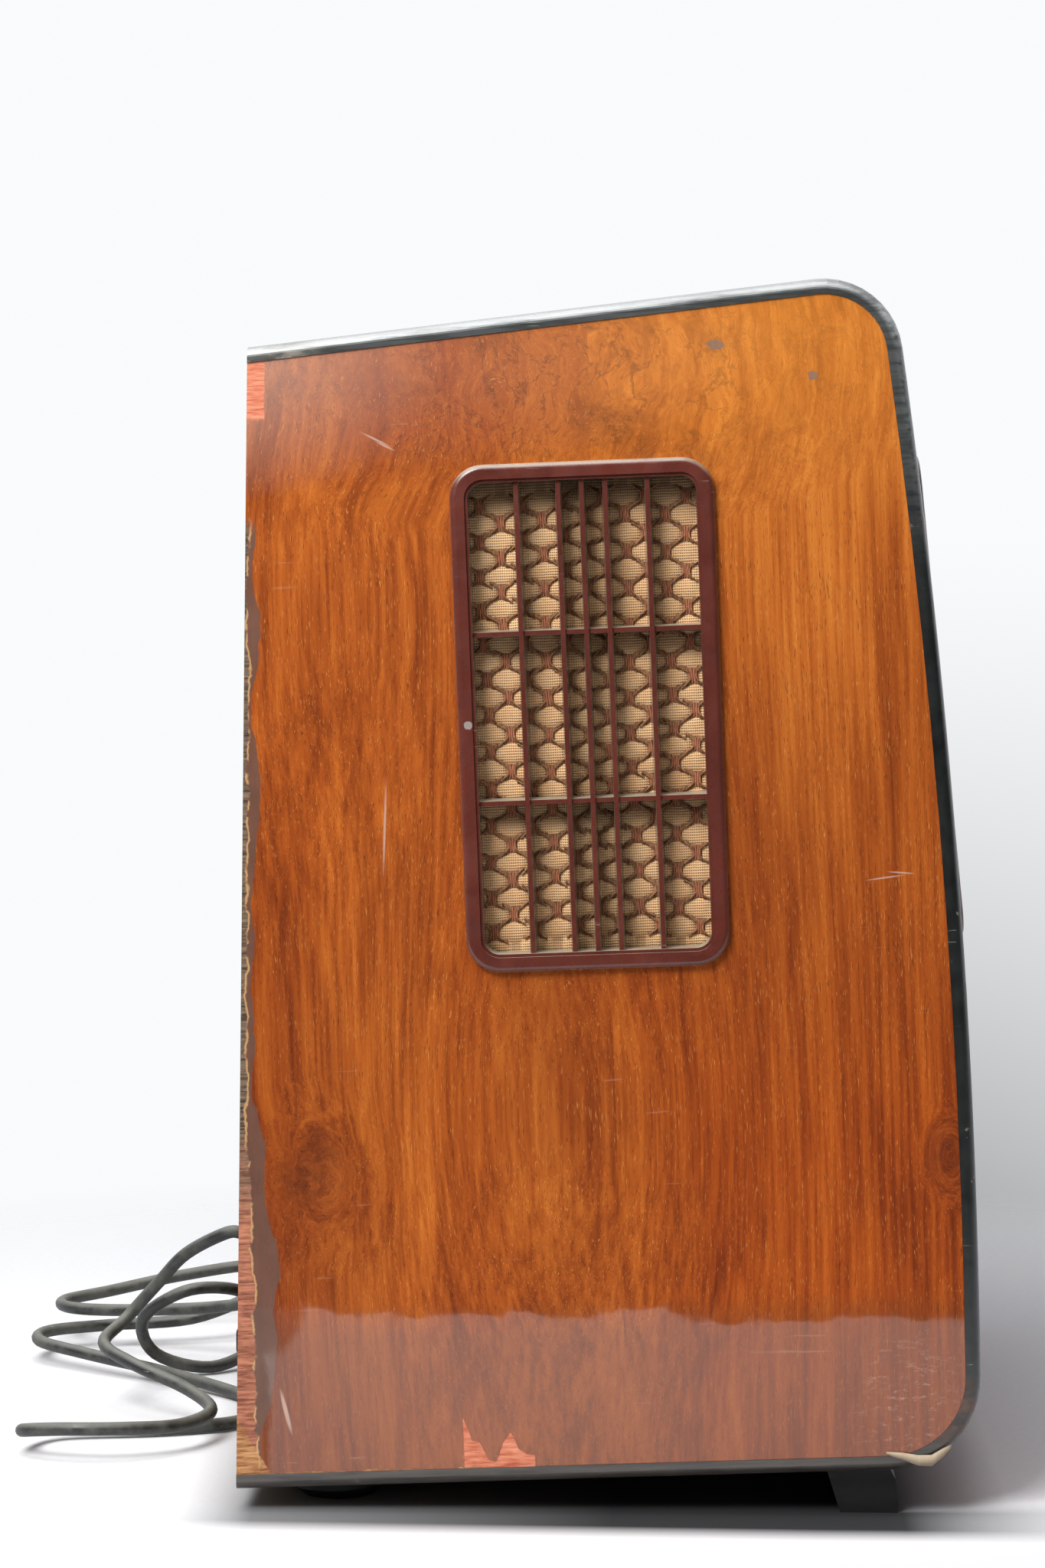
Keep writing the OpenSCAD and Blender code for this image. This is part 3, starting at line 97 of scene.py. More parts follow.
def smooth_line(points, steps):
    """Points on a smooth curve that passes through every given point."""
    first = 2 * points[0] - points[1]
    last = 2 * points[-1] - points[-2]
    padded = [first] + points + [last]
    line = []
    for a, b, c, d in zip(padded, padded[1:], padded[2:], padded[3:]):
        for step in range(steps):
            t = step / steps
            line.append(0.5 * (2 * b + t * (c - a) + t * t * (2 * a - 5 * b + 4 * c - d)
                               + t ** 3 * (3 * b - a - 3 * c + d)))
    return line + [points[-1]]


cord_line = smooth_line(route, 6)
cord_data = bpy.data.curves.new("flex", "CURVE")
cord_data.dimensions = "3D"
cord_data.bevel_depth = CORD_D / 2
cord_data.bevel_resolution = 4
cord_data.use_fill_caps = True
spline = cord_data.splines.new("POLY")
spline.points.add(len(cord_line) - 1)
for place, point in zip(spline.points, cord_line):
    place.co = (*point, 1)
cord = bpy.data.objects.new("flex", cord_data)
bpy.context.scene.collection.objects.link(cord)

# %% [markdown]
# ## Tools for materials
# A material is a tree of shader nodes, and long rows of nodes are hard to read as code. So each step
# that returns again, such as a product, a ramp, noise or a blend of colours, has a short function that
# adds its node and hands back the socket for the next step.


# %% helpers for shader nodes
def srgb(r, g, b, a=1.0):
    """A colour written as it looks on a screen, 0 to 255, as the shader wants it."""
    parts = [v / 255 / 12.92 if v <= 10 else ((v / 255 + 0.055) / 1.055) ** 2.4 for v in (r, g, b)]
    return (*parts, a)


def feed(tree, socket, value):
    """Links a socket to another one, or sets its value."""
    if isinstance(value, bpy.types.NodeSocket):
        tree.links.new(value, socket)
    else:
        socket.default_value = value


def node(tree, kind, inputs=None, **settings):
    """Adds a node with its settings and its inputs, which are given by name or by number."""
    made = tree.nodes.new("ShaderNode" + kind)
    for name, value in settings.items():
        setattr(made, name, value)
    for key, value in (inputs or {}).items():
        feed(tree, made.inputs[key], value)
    return made


def link(obj):
    """Puts an object into the scene."""
    bpy.context.scene.collection.objects.link(obj)
    return obj


print("a mid grey of 128 is", round(srgb(128, 128, 128)[0], 3), "as light")


# %% arithmetic on values and masks
def calc(tree, operation, a, b=0.5, clamp=False):
    """One step of arithmetic on values."""
    return node(tree, "Math", {0: a, 1: b}, operation=operation, use_clamp=clamp).outputs[0]


def times(tree, *values):
    """The product of two or more values; it also cuts masks out of each other."""
    product = values[0]
    for value in values[1:]:
        product = calc(tree, "MULTIPLY", product, value)
    return product


def plus(tree, a, b):
    """The sum of two values."""
    return calc(tree, "ADD", a, b)


def minus(tree, a, b):
    """The first value without the second."""
    return calc(tree, "SUBTRACT", a, b)


def most(tree, masks):
    """The strongest of several masks."""
    result = masks[0]
    for mask in masks[1:]:
        result = calc(tree, "MAXIMUM", result, mask)
    return result


def ramp(tree, value, low, high, out_low=0.0, out_high=1.0):
    """Turns low..high into out_low..out_high, with nothing beyond."""
    return node(tree, "MapRange", {0: value, 1: low, 2: high, 3: out_low, 4: out_high}).outputs[0]


def band(tree, value, low, high, soft):
    """1 between low and high, 0 outside, with soft edges."""
    return times(tree, ramp(tree, value, low - soft, low + soft), ramp(tree, value, high + soft, high - soft))


print("helpers for values:", [f.__name__ for f in (calc, times, plus, minus, most, ramp, band)])


# %% places and directions
def axes(tree, where):
    """The x, y and z of a place."""
    return node(tree, "SeparateXYZ", {0: where}).outputs


def vectors(tree, operation, a, b):
    """One step of arithmetic on two places."""
    return node(tree, "VectorMath", {0: a, 1: b}, operation=operation).outputs[0]


def stretched(tree, where, factor):
    """A place taken further out or in by one factor."""
    return node(tree, "VectorMath", {0: where, 3: factor}, operation="SCALE").outputs[0]


def length_of(tree, where):
    """How far a place lies from the middle."""
    return node(tree, "VectorMath", {0: where}, operation="LENGTH").outputs["Value"]


def mapped(tree, where, place=(0, 0, 0), turn=(0, 0, 0), scale=(1, 1, 1), kind="POINT"):
    """A place moved, turned and scaled."""
    return node(tree, "Mapping", {"Vector": where, "Location": place, "Rotation": turn, "Scale": scale},
                vector_type=kind).outputs[0]


def noise(tree, where, scale, detail=2.0, roughness=0.5, distortion=0.0, out="Fac"):
    """Even, cloudy noise; the scale is in clouds for each metre."""
    return node(tree, "TexNoise", {"Vector": where, "Scale": scale, "Detail": detail,
                                   "Roughness": roughness, "Distortion": distortion}).outputs[out]


def facing_way(tree):
    """Which way the surface faces, as x, y and z."""
    return axes(tree, node(tree, "NewGeometry").outputs["Normal"])


print("helpers for places:", [f.__name__ for f in (axes, vectors, stretched, length_of, mapped, noise)])


# %% colours
def blend_colour(tree, factor, a, b):
    """From the first colour to the second."""
    return node(tree, "Mix", {0: factor, 6: a, 7: b}, data_type="RGBA").outputs[2]


def layered(tree, colour, coats):
    """Lays further colours over a colour, one after the other, each through its own mask."""
    for mask, over in coats:
        colour = blend_colour(tree, mask, colour, over)
    return colour


def colour_steps(tree, value, steps):
    """A run of colours at given places."""
    made = node(tree, "ValToRGB", {0: value})
    elements = made.color_ramp.elements
    for k, (place, colour) in enumerate(steps):
        element = elements[0] if k == 0 else elements[-1] if k == len(steps) - 1 else elements.new(place)
        element.position = place
        element.color = colour
    return made.outputs[0]


def profile(tree, value, heights):
    """A curve through heights, 0 to 1, at even steps of a value that runs from 0 to 1."""
    last = len(heights) - 1
    return colour_steps(tree, value, [(k / last, (h, h, h, 1)) for k, h in enumerate(heights)])


def mottled(tree, where, scale, detail, roughness, dark, light):
    """Two shades of one colour, in clouds."""
    return blend_colour(tree, ramp(tree, noise(tree, where, scale, detail, roughness), 0.3, 0.7), dark, light)


print("helpers for colours:", [f.__name__ for f in (blend_colour, layered, colour_steps, profile, mottled)])


# %% [markdown]
# ## Floor, backdrop and light
# The photograph has a white table that runs into a white wall. A softbox hangs above, a little to the
# camera's left and just before the side panel: it burns the table out to white, leaves it black beneath
# the cabinet and shades the strip at the right. The photograph's contrast is steeper than light alone
# gives, so a painted shadow darkens the paper beneath the cabinet. Far behind, the table fades for the
# camera's eye into the wall: the world's own colour, with a painted shadow of the cabinet low down at
# the right.
# What the lacquer mirrors matters as much: it mirrors the table up to its front edge, and above that
# the dark room behind the camera. So the world is black on the camera's side for mirrored rays only.

# %% world
world = bpy.data.worlds.new("studio")
bpy.context.scene.world = world
world.use_nodes = True
sky = world.node_tree
sky.nodes.clear()
ray = node(sky, "LightPath").outputs
towards = axes(sky, node(sky, "TexCoord").outputs["Generated"])
# The wall gets a painted shadow of the cabinet: grey to the right of the radio, deeper lower down.
to_right = minus(sky, 0.0376, calc(sky, "DIVIDE", towards["Y"], towards["X"]))
downward = calc(sky, "DIVIDE", towards["Z"], towards["X"])
beside = times(sky, ramp(sky, to_right, -0.03, 0.06), ramp(sky, to_right, 0.20, 0.11, 0.72, 1.0))
fall = calc(sky, "POWER", ramp(sky, downward, 0.01, -0.17), 1.3)
ahead = calc(sky, "GREATER_THAN", towards["X"], 0.3)
painted_shadow = times(sky, times(sky, beside, fall), times(sky, ahead, 0.56))
wall = blend_colour(sky, painted_shadow, (0.945, 0.965, 0.975, 1), (0, 0, 0.004, 1))
studio_wall = ramp(sky, towards["X"], -0.15, 0.25, 0.0, 1.0)
ceiling = times(sky, ramp(sky, towards["Z"], 0.50, 0.80, 0.0, 4.0),
                ramp(sky, towards["Y"], -0.45, 0.05, 0.25, 1.0))
mirrored_light = most(sky, [studio_wall, ceiling])
see_through = most(sky, [ray["Is Camera Ray"], ray["Is Transmission Ray"]])
room = node(sky, "Background", {"Color": srgb(238, 240, 246), "Strength": 0.34})
mirror_room = node(sky, "Background", {"Color": (0.95, 0.97, 1.0, 1), "Strength": mirrored_light})
white = node(sky, "Background", {"Color": wall, "Strength": 1.0})
lit = node(sky, "MixShader", {0: ray["Is Glossy Ray"], 1: room.outputs[0], 2: mirror_room.outputs[0]})
shown = node(sky, "MixShader", {0: see_through, 1: lit.outputs[0], 2: white.outputs[0]})
node(sky, "OutputWorld", {0: shown.outputs[0]})
print("the world has", len(sky.nodes), "nodes")


# %% lamps
def lamp(name, place, target, power, size, size_y):
    """A softbox: an area lamp that is turned to a point."""
    data = bpy.data.lights.new(name, "AREA")
    data.energy = power
    data.shape = "RECTANGLE"
    data.size, data.size_y = size, size_y
    obj = link(bpy.data.objects.new(name, data))
    obj.location = place
    obj.rotation_euler = (Vector(target) - obj.location).to_track_quat("-Z", "Y").to_euler()
    return obj


lamp("softbox_above", (-0.50, 0.50, 1.70), (-0.45, 0.40, 0.1), 19, 1.25, 1.25)
lamp("softbox_front", (-1.40, 0.75, 1.45), (-0.2, 0.0, 0.40), 33, 0.8, 0.6)


# %% [markdown]
# The table is one large face. A painted shadow darkens its paper where the cabinet keeps the light away:
# from just before the side panel to the far side, fading past the rear feet and past the front.


# %% floor
def new_material(name):
    """An empty material and its tree."""
    material = bpy.data.materials.new(name)
    material.use_nodes = True
    material.node_tree.nodes.clear()
    return material, material.node_tree


def flat_mesh(name, corners):
    """One flat face."""
    mesh = bpy.data.meshes.new(name)
    mesh.from_pydata(corners, [], [range(len(corners))])
    return link(bpy.data.objects.new(name, mesh))


def shade_beneath(tree, axis):
    """The mask of the painted shadow on the paper beneath the cabinet."""
    near_edge = ramp(tree, axis["Y"], 0.17, -0.09, -0.237, -0.243)
    across = times(tree, ramp(tree, minus(tree, axis["X"], near_edge), -0.012, 0.008),
                   ramp(tree, axis["X"], 0.23, 0.20))
    before_panel = times(tree, ramp(tree, axis["X"], -0.185, -0.205), ramp(tree, axis["Y"], -0.222, -0.13))
    front_fade = most(tree, [before_panel, ramp(tree, axis["Y"], -0.180, -0.124)])
    return times(tree, across, front_fade, ramp(tree, axis["Y"], 0.205, 0.162),
                 ramp(tree, axis["Y"], 0.16, 0.0, 0.80, 1.0))


# Metres: the table before, behind and beside the radio, and the face of the side panel
TABLE_FRONT, TABLE_END, TABLE_SIDE = -0.66, 9, 4
PANEL_FACE = 0.215
paper, tree = new_material("white_paper")
floor_place = node(tree, "TexCoord").outputs["Object"]
floor_axis = axes(tree, floor_place)
tone = mottled(tree, floor_place, 260, 3, 0.5, srgb(243, 244, 246), srgb(247, 248, 250))
# The paper is a little greyer towards the camera; beneath the cabinet a painted shadow darkens it.
tone = layered(tree, tone, [(ramp(tree, floor_axis["X"], -0.20, -0.30), srgb(228, 229, 230)),
                            (times(tree, shade_beneath(tree, floor_axis), 0.97), srgb(18, 18, 20))])
sheet = node(tree, "BsdfPrincipled", {"Base Color": tone, "Roughness": 0.7, "Specular IOR Level": 0.1})
to_camera = node(tree, "LightPath").outputs["Is Camera Ray"]
faded = times(tree, ramp(tree, length_of(tree, floor_place), 0.36, 0.75), to_camera)
fading = node(tree, "MixShader", {0: faded, 1: sheet.outputs[0], 2: node(tree, "BsdfTransparent").outputs[0]})
node(tree, "OutputMaterial", {0: fading.outputs[0]})
table = flat_mesh("table_top", [(TABLE_FRONT, -TABLE_SIDE, 0), (TABLE_END, -TABLE_SIDE, 0),
                                (TABLE_END, TABLE_SIDE, 0), (TABLE_FRONT, TABLE_SIDE, 0)])
table.data.materials.append(paper)
print("the table's front edge lies", -TABLE_FRONT - PANEL_FACE, "m before the side panel")

# %% [markdown]
# ## Wood
# Three things make veneer look like wood: broad bands of darker and lighter wood, fine streaks along
# the grain, and pores, which are short hairlines, some dark and some pale with old polish. All are the
# same noise at different stretches, so they go into one node group. It is placed in the side veneer,
# in the front veneer and in the bare boards, each with its own scale.


# %% grain group
def new_group(name, inputs, outputs):
    """A shader node group with named inputs and outputs; returns its tree, its inputs and its outputs."""
    group = bpy.data.node_groups.new(name, "ShaderNodeTree")
    for label, kind, value in inputs:
        socket = group.interface.new_socket(name=label, in_out="INPUT", socket_type="NodeSocket" + kind)
        if value is not None:
            socket.default_value = value
    for label, kind in outputs:
        group.interface.new_socket(name=label, in_out="OUTPUT", socket_type="NodeSocket" + kind)
    entry = group.nodes.new("NodeGroupInput")
    leave = group.nodes.new("NodeGroupOutput")
    return group, entry.outputs, leave.inputs


def place_group(tree, group, inputs):
    """Puts a group into a material with its own values; returns its outputs."""
    made = tree.nodes.new("ShaderNodeGroup")
    made.node_tree = group
    for key, value in inputs.items():
        feed(tree, made.inputs[key], value)
    return made.outputs


def grain_depth(tree, wood, bands):
    """How light the wood is: a share of its broad bands, and its fine streaks for the rest."""
    return plus(tree, times(tree, wood["Bands"], bands), times(tree, wood["Streaks"], 1 - bands))


grain, given, result = new_group(
    "wood_grain", [("Vector", "Vector", None), ("Scale", "Float", 1.0)],
    [("Bands", "Float"), ("Streaks", "Float"), ("Pale Pores", "Float"), ("Dark Pores", "Float")])
grain_at = stretched(grain, given["Vector"], given["Scale"])
coarse = noise(grain, mapped(grain, grain_at, scale=(1, 1, 0.05)), 110, 5, 0.62, 0.5)
fine = noise(grain, mapped(grain, grain_at, scale=(1, 1, 0.025)), 430, 3, 0.6, 0.3)
thickness = noise(grain, grain_at, 40, 3, 0.6)
for name, shift, density in (("Pale Pores", 0.0, 0.020), ("Dark Pores", 3.1, 0.0)):
    hair_place = mapped(grain, grain_at, place=(shift, 0, 0), scale=(1, 1, 0.10))
    dashes = noise(grain, hair_place, 2400, 1.5, 0.5, 0.2)
    edge = plus(grain, times(grain, thickness, -0.12), 0.68 + density)
    feed(grain, result[name], calc(grain, "MULTIPLY", minus(grain, dashes, edge), 11.0, True))
feed(grain, result["Bands"], noise(grain, mapped(grain, grain_at, scale=(1, 1, 0.22)), 21, 4, 0.55, 1.4))
feed(grain, result["Streaks"], plus(grain, times(grain, coarse, 0.5), times(grain, fine, 0.5)))
print("groups:", [g.name for g in bpy.data.node_groups])

# %% [markdown]
# ## Dust and scuffs
# Dust lies where a face looks up, and it is never even. The group reads which way the surface faces and
# breaks the result up with noise. The grille, the mouldings, the cord and the chassis all take it.
# Scuffs are thin stretched noise, let through in a few places.

# %% dust and scuff groups
dust, given, result = new_group(
    "dust", [("Vector", "Vector", None), ("Amount", "Float", 1.0)], [("Mask", "Float")])
upward = ramp(dust, facing_way(dust)["Z"], 0.25, 0.9)
uneven = ramp(dust, noise(dust, given["Vector"], 90, 5, 0.65), 0.25, 0.65, 0.35, 1.0)
feed(dust, result["Mask"], calc(dust, "MULTIPLY", times(dust, upward, uneven), given["Amount"], True))

scuffs, given, result = new_group(
    "scuffs", [("Vector", "Vector", None), ("Scale", "Float", 1.0), ("Amount", "Float", 0.5)],
    [("Mask", "Float")])
scuff_at = stretched(scuffs, given["Vector"], given["Scale"])
slanted = mapped(scuffs, scuff_at, turn=(0.6, 0.4, 0.9), scale=(1, 0.06, 1))
hairlines = ramp(scuffs, noise(scuffs, slanted, 420, 2, 0.5, 0.3), 0.70, 0.74)
where_worn = ramp(scuffs, noise(scuffs, scuff_at, 22, 3, 0.6), 0.5, 0.62)
scuffed = times(scuffs, hairlines, where_worn)
feed(scuffs, result["Mask"], calc(scuffs, "MULTIPLY", scuffed, given["Amount"], True))


def dust_coat(tree, place, amount, shade):
    """A coat of dust for a material: its mask and its colour."""
    return place_group(tree, dust, {"Vector": place, "Amount": amount})["Mask"], shade


def scuff_coat(tree, place, scale, amount, shade):
    """A coat of fine scuffs for a material: its mask and its colour."""
    made = place_group(tree, scuffs, {"Vector": place, "Scale": scale, "Amount": amount})
    return made["Mask"], shade


print("groups:", [g.name for g in bpy.data.node_groups])

# %% [markdown]
# ## Places on the cabinet
# The cabinet leans back on its feet, but its wear is easier to place on the upright box. So a pattern
# reads a place that is turned back by the lean, with y along the bottom and z up the rear edge.


# %% where a point is in the cabinet
LEAN = math.radians(2.2)
REAR_LIFT = 0.010
CABINET_SHIFT = (0, -(REAR * math.cos(LEAN) - REAR_LIFT * math.sin(LEAN)),
                 -(REAR * math.sin(LEAN) + REAR_LIFT * math.cos(LEAN)))


def object_place(tree):
    """The place in the scene, in metres."""
    return node(tree, "TexCoord").outputs["Object"]


def cabinet_place(tree):
    """The place, turned and moved so that y and z run along the cabinet's own bottom and rear."""
    return mapped(tree, object_place(tree), place=CABINET_SHIFT, turn=(LEAN, 0, 0))


def spot(tree, where, y, z, half_y, half_z, turn=0.0, soft=0.35):
    """A mask of an oval patch on the side, in millimetres in the cabinet. A thin long one is a scratch."""
    local = mapped(tree, where, place=(0, y / 1000, z / 1000), turn=(math.radians(turn), 0, 0),
                   scale=(1000, half_y / 1000, half_z / 1000), kind="TEXTURE")
    return ramp(tree, length_of(tree, local), 1.0 + soft, 1.0 - soft)


def shaken(tree, where, scale, reach):
    """A place moved about by noise, which makes an outline ragged."""
    moved = noise(tree, where, scale, 4, 0.6, out="Color")
    offset = vectors(tree, "SUBTRACT", moved, (0.5, 0.5, 0.5))
    return vectors(tree, "ADD", where, stretched(tree, offset, 2 * reach))


def bump(tree, height, distance, strength=1.0, normal=None):
    """The normal of a surface with a small relief, on top of another one if it is given."""
    made = node(tree, "Bump", {"Height": height, "Distance": distance, "Strength": strength})
    if normal is not None:
        feed(tree, made.inputs["Normal"], normal)
    return made.outputs[0]


def finish_surface(tree, inputs, normal=None):
    """Ends a material with its shader."""
    shader = node(tree, "BsdfPrincipled", inputs)
    if normal is not None:
        feed(tree, shader.inputs["Normal"], normal)
    node(tree, "OutputMaterial", {0: shader.outputs[0]})
    return shader


print("the cabinet's own corner lies at", [round(-v, 4) for v in CABINET_SHIFT], "before it leans")

# %% [markdown]
# ## The side veneer
# The side is the face that the photograph shows, so its wear is placed where the real one has it: dark
# knots low at the rear and at the front edge, a mottled figure with a seam below the top, a strip of
# grey filler and red bare wood along the rear edge, a torn patch at the bottom, scratches, and scuffs
# in the lower front corner. Each mark is a small mask on the cabinet's own coordinates in millimetres.
# The clear lacquer is the shader's coat, and slow waves in it make the mirrored table's edge uneven.

# %% the side's grain
GRAIN_KNOTS = ((-38, 146, 8, 0.5), (-325, 141, 7, 0.4), (-150, 165, 80, 0.22), (-70, 395, 70, 0.16))


def around_knot(tree, where, y, z, reach, strength):
    """Bends the grain round a knot: places near it are drawn towards its middle."""
    middle = (0, y / 1000, z / 1000)
    local = vectors(tree, "SUBTRACT", where, middle)
    flat = vectors(tree, "MULTIPLY", local, (0, 1000 / reach, 600 / reach))
    squared = calc(tree, "POWER", length_of(tree, flat), 2.0)
    pull = times(tree, calc(tree, "EXPONENT", times(tree, squared, -1.0)), -strength)
    return vectors(tree, "ADD", where, stretched(tree, local, pull))


def side_grain_place(tree, place, figure, beyond_seam):
    """Where the grain is looked up: bent round knots, swirled in the figure and shifted past the seam."""
    gnarl = times(tree, spot(tree, place, -43, 140, 24, 26, soft=0.8), 0.016)
    gnarled = stretched(tree, noise(tree, place, 95, 3, 0.6, out="Color"), gnarl)
    where = vectors(tree, "ADD", place, gnarled)
    for y, z, reach, strength in GRAIN_KNOTS:
        where = around_knot(tree, where, y, z, reach, strength)
    swirl = stretched(tree, noise(tree, place, 22, 3, 0.55, out="Color"), times(tree, figure, 0.045))
    where = vectors(tree, "ADD", where, swirl)
    other_leaf = node(tree, "CombineXYZ", {0: times(tree, beyond_seam, 0.3)}).outputs[0]
    return vectors(tree, "ADD", where, other_leaf)


print("the grain bends round", len(GRAIN_KNOTS), "knots")


# %% [markdown]
# The wood's tones come first: the same grain once in deep brown and once in golden orange, blended to
# golden towards the top and the front and in two bands low in the middle. Over them lie darker shades,
# the mottled figure under the top, the knots and the pores, then wide soft patches that are warm, dull
# and brown, and a painted reflection at the top.

# %% the side's wood
DEEP_TONES = [(0.34, srgb(96, 36, 11)), (0.44, srgb(130, 54, 16)), (0.52, srgb(156, 69, 20)),
              (0.62, srgb(180, 88, 26)), (0.72, srgb(196, 104, 36))]
GOLDEN_TONES = [(0.34, srgb(136, 62, 20)), (0.44, srgb(170, 86, 28)), (0.52, srgb(192, 106, 38)),
                (0.62, srgb(212, 128, 50)), (0.72, srgb(222, 142, 60))]


def soft_spot(tree, where, y, z, half_y, half_z, amount=1.0):
    """A wide patch with a very soft edge."""
    return times(tree, spot(tree, where, y, z, half_y, half_z, soft=0.9), amount)


def side_tones(tree, axis, ragged, wood):
    """The grain in its two colours, with the broad shades of the real panel."""
    depth = grain_depth(tree, wood, 0.28)
    # The wood is more golden towards the top and the front, and in two bands low in the middle.
    golden_up_front = times(tree, ramp(tree, axis["Z"], 0.15, 0.50), ramp(tree, axis["Y"], -0.02, -0.30, 0.40, 1.0))
    lighter_bands = most(tree, [soft_spot(tree, ragged, -78, 190, 32, 150, 0.55),
                       soft_spot(tree, ragged, -152, 125, 36, 115, 0.55)])
    colour = blend_colour(tree, most(tree, [golden_up_front, lighter_bands]), colour_steps(tree, depth, DEEP_TONES),
                          colour_steps(tree, depth, GOLDEN_TONES))
    shade = most(tree, [soft_spot(tree, ragged, -150, 210, 26, 80),
                        soft_spot(tree, ragged, -242, 270, 26, 60)])
    return blend_colour(tree, times(tree, shade, 0.35), colour, srgb(112, 46, 16))


def side_figure(tree, place, axis, figure, beyond_seam):
    """Coats for the darker leaf behind the seam and for the mottled figure with its dark contours."""
    older_leaf = times(tree, ramp(tree, axis["Z"], 0.445, 0.470), minus(tree, 1.0, beyond_seam),
                       ramp(tree, axis["Y"], -0.04, -0.08))
    mottle_place = shaken(tree, place, 30, 0.012)
    mottle = ramp(tree, noise(tree, mottle_place, 46, 4, 0.6, 0.8), 0.48, 0.66)
    contour = calc(tree, "ABSOLUTE", minus(tree, noise(tree, mottle_place, 34, 5, 0.6, 1.0), 0.5))
    return [(times(tree, older_leaf, 0.45), srgb(148, 66, 30)),
            (times(tree, figure, mottle, 0.7), srgb(116, 50, 20)),
            (times(tree, figure, ramp(tree, contour, 0.018, 0.0), 0.75), srgb(92, 40, 18))]


def side_knots_and_pores(tree, place, ragged, wood):
    """Coats for the dark hearts of the knots and for both kinds of pores."""
    knots = most(tree, [spot(tree, ragged, -36, 139, 9, 9, soft=0.8),
                        spot(tree, ragged, -44, 152, 6, 8, soft=0.9),
                        spot(tree, ragged, -324, 141, 6, 11, soft=0.9)])
    knots = times(tree, knots, ramp(tree, noise(tree, place, 260, 4, 0.65), 0.35, 0.60, 0.35, 1.0))
    return [(times(tree, knots, 0.75), srgb(74, 28, 14)),
            (times(tree, wood["Dark Pores"], 0.6), srgb(80, 32, 12)),
            (times(tree, wood["Pale Pores"], 0.42), srgb(232, 160, 84))]


def side_patches(tree, axis, ragged):
    """Coats for wide patches: warm and a painted reflection at the top, dull at the rear, brown low down."""
    low = times(tree, ramp(tree, axis["Z"], 0.082, 0.066), ramp(tree, axis["Y"], -0.01, -0.06, 0.6, 1.0))
    # A pale painted reflection of the ceiling, near the top of the side at the rear.
    pale_patches = most(tree, [soft_spot(tree, ragged, 0, 510, 75, 36, 0.36),
                        soft_spot(tree, ragged, -80, 502, 100, 26, 0.08)])
    return [(soft_spot(tree, ragged, -262, 512, 78, 50, 0.32), srgb(240, 156, 60)),
            (soft_spot(tree, ragged, -14, 50, 36, 140, 0.42), srgb(62, 30, 18)),
            (times(tree, low, 0.44), srgb(108, 62, 30)),
            (pale_patches, srgb(212, 196, 184))]


print("the wood has", len(DEEP_TONES), "deep and", len(GOLDEN_TONES), "golden tones")


# %% [markdown]
# The damage is a matter of distances: how far a point lies from the rear edge or from the bottom,
# against how far the damage reaches there. A curve along the edge gives that reach, noise makes its
# outline rough, and the mask is where the reach is the larger of the two.

# %% the side's damage
# The most that each kind of damage reaches, in metres, and its share of that at even steps: up the
# rear edge for filler and raw wood, and along the bottom from rear to front for the torn patch
FILLER_MOST, RAW_MOST, TORN_MOST = 0.020, 0.010, 0.029
FILLER_WIDTHS = (0.50, 0.70, 0.88, 0.48, 0.27, 0.25, 0.33, 0.24, 0.30, 0.12)
RAW_WIDTHS = (0.95, 0.82, 0.72, 0.40, 0.18, 0.25, 0.20, 0.26, 0.14, 0.10)
TORN_PEAKS = (1.0, 0.66, 0.62, 0.36, 0.30, 0.60, 0.76, 0.50, 0.42, 0.40)
STRIPPED = ("raw_wood", "missing", "torn_top", "low_line", "corner_wood")


def within(tree, reach, distance, low=-0.0002, high=0.0004):
    """1 where the reach is more than the distance, with a crisp edge."""
    return ramp(tree, minus(tree, reach, distance), low, high)


def side_damage(tree, place, axis):
    """The masks of all damage, by name, and the noise that tears the bare wood."""
    from_rear = times(tree, plus(tree, axis["Y"], times(tree, axis["Z"], 0.0524)), -1.0)
    rough_edge = times(tree, noise(tree, place, 240, 3), 0.0012)
    up_strip = ramp(tree, axis["Z"], 0.0, 0.43)
    tall = band(tree, axis["Z"], 0.010, 0.432, 0.004)
    wander = noise(tree, mapped(tree, place, scale=(1, 0.2, 1)), 24, 3, 0.5)
    wander = plus(tree, ramp(tree, wander, 0.35, 0.65, -0.0025, 0.0025), rough_edge)
    filler_width = plus(tree, times(tree, profile(tree, up_strip, FILLER_WIDTHS), FILLER_MOST), wander)
    torn = noise(tree, mapped(tree, place, place=(0.4, 0, 0.2)), 60, 4, 0.6)
    raw_width = plus(tree, ramp(tree, torn, 0.3, 0.7, -0.0018, 0.0018),
                     times(tree, profile(tree, up_strip, RAW_WIDTHS), RAW_MOST))
    rim_line = times(tree, band(tree, minus(tree, raw_width, from_rear), -0.0007, 0.0001, 0.0003), tall)
    peaks = profile(tree, ramp(tree, axis["Y"], -0.1035, -0.135), TORN_PEAKS)
    peaks = plus(tree, times(tree, peaks, TORN_MOST), times(tree, rough_edge, 1.5))
    low_reach = plus(tree, times(tree, rough_edge, 2.5), 0.0062)
    low_length = times(tree, band(tree, axis["Y"], -0.118, 0.0, 0.01),
                       ramp(tree, noise(tree, place, 70, 3), 0.36, 0.42))
    corner_reach = plus(tree, times(tree, rough_edge, 2.0), minus(tree, 0.0190, times(tree, axis["Z"], 0.62)))
    return {
        "torn": torn,
        "filler": times(tree, within(tree, filler_width, from_rear), tall),
        "raw_wood": times(tree, within(tree, raw_width, from_rear), tall),
        "rim_line": times(tree, rim_line, ramp(tree, noise(tree, place, 120, 3), 0.42, 0.50)),
        "missing": times(tree, band(tree, axis["Y"], -0.135, -0.1033, 0.0002),
                         within(tree, peaks, axis["Z"], 0.0, 0.0006)),
        "torn_top": times(tree, band(tree, axis["Z"], 0.479, 0.506, 0.0006),
                          within(tree, plus(tree, rough_edge, 0.0072), from_rear)),
        "low_line": times(tree, within(tree, low_reach, axis["Z"], 0.0, 0.0005), low_length),
        "corner_wood": within(tree, corner_reach, from_rear, -0.0002, 0.0005),
    }


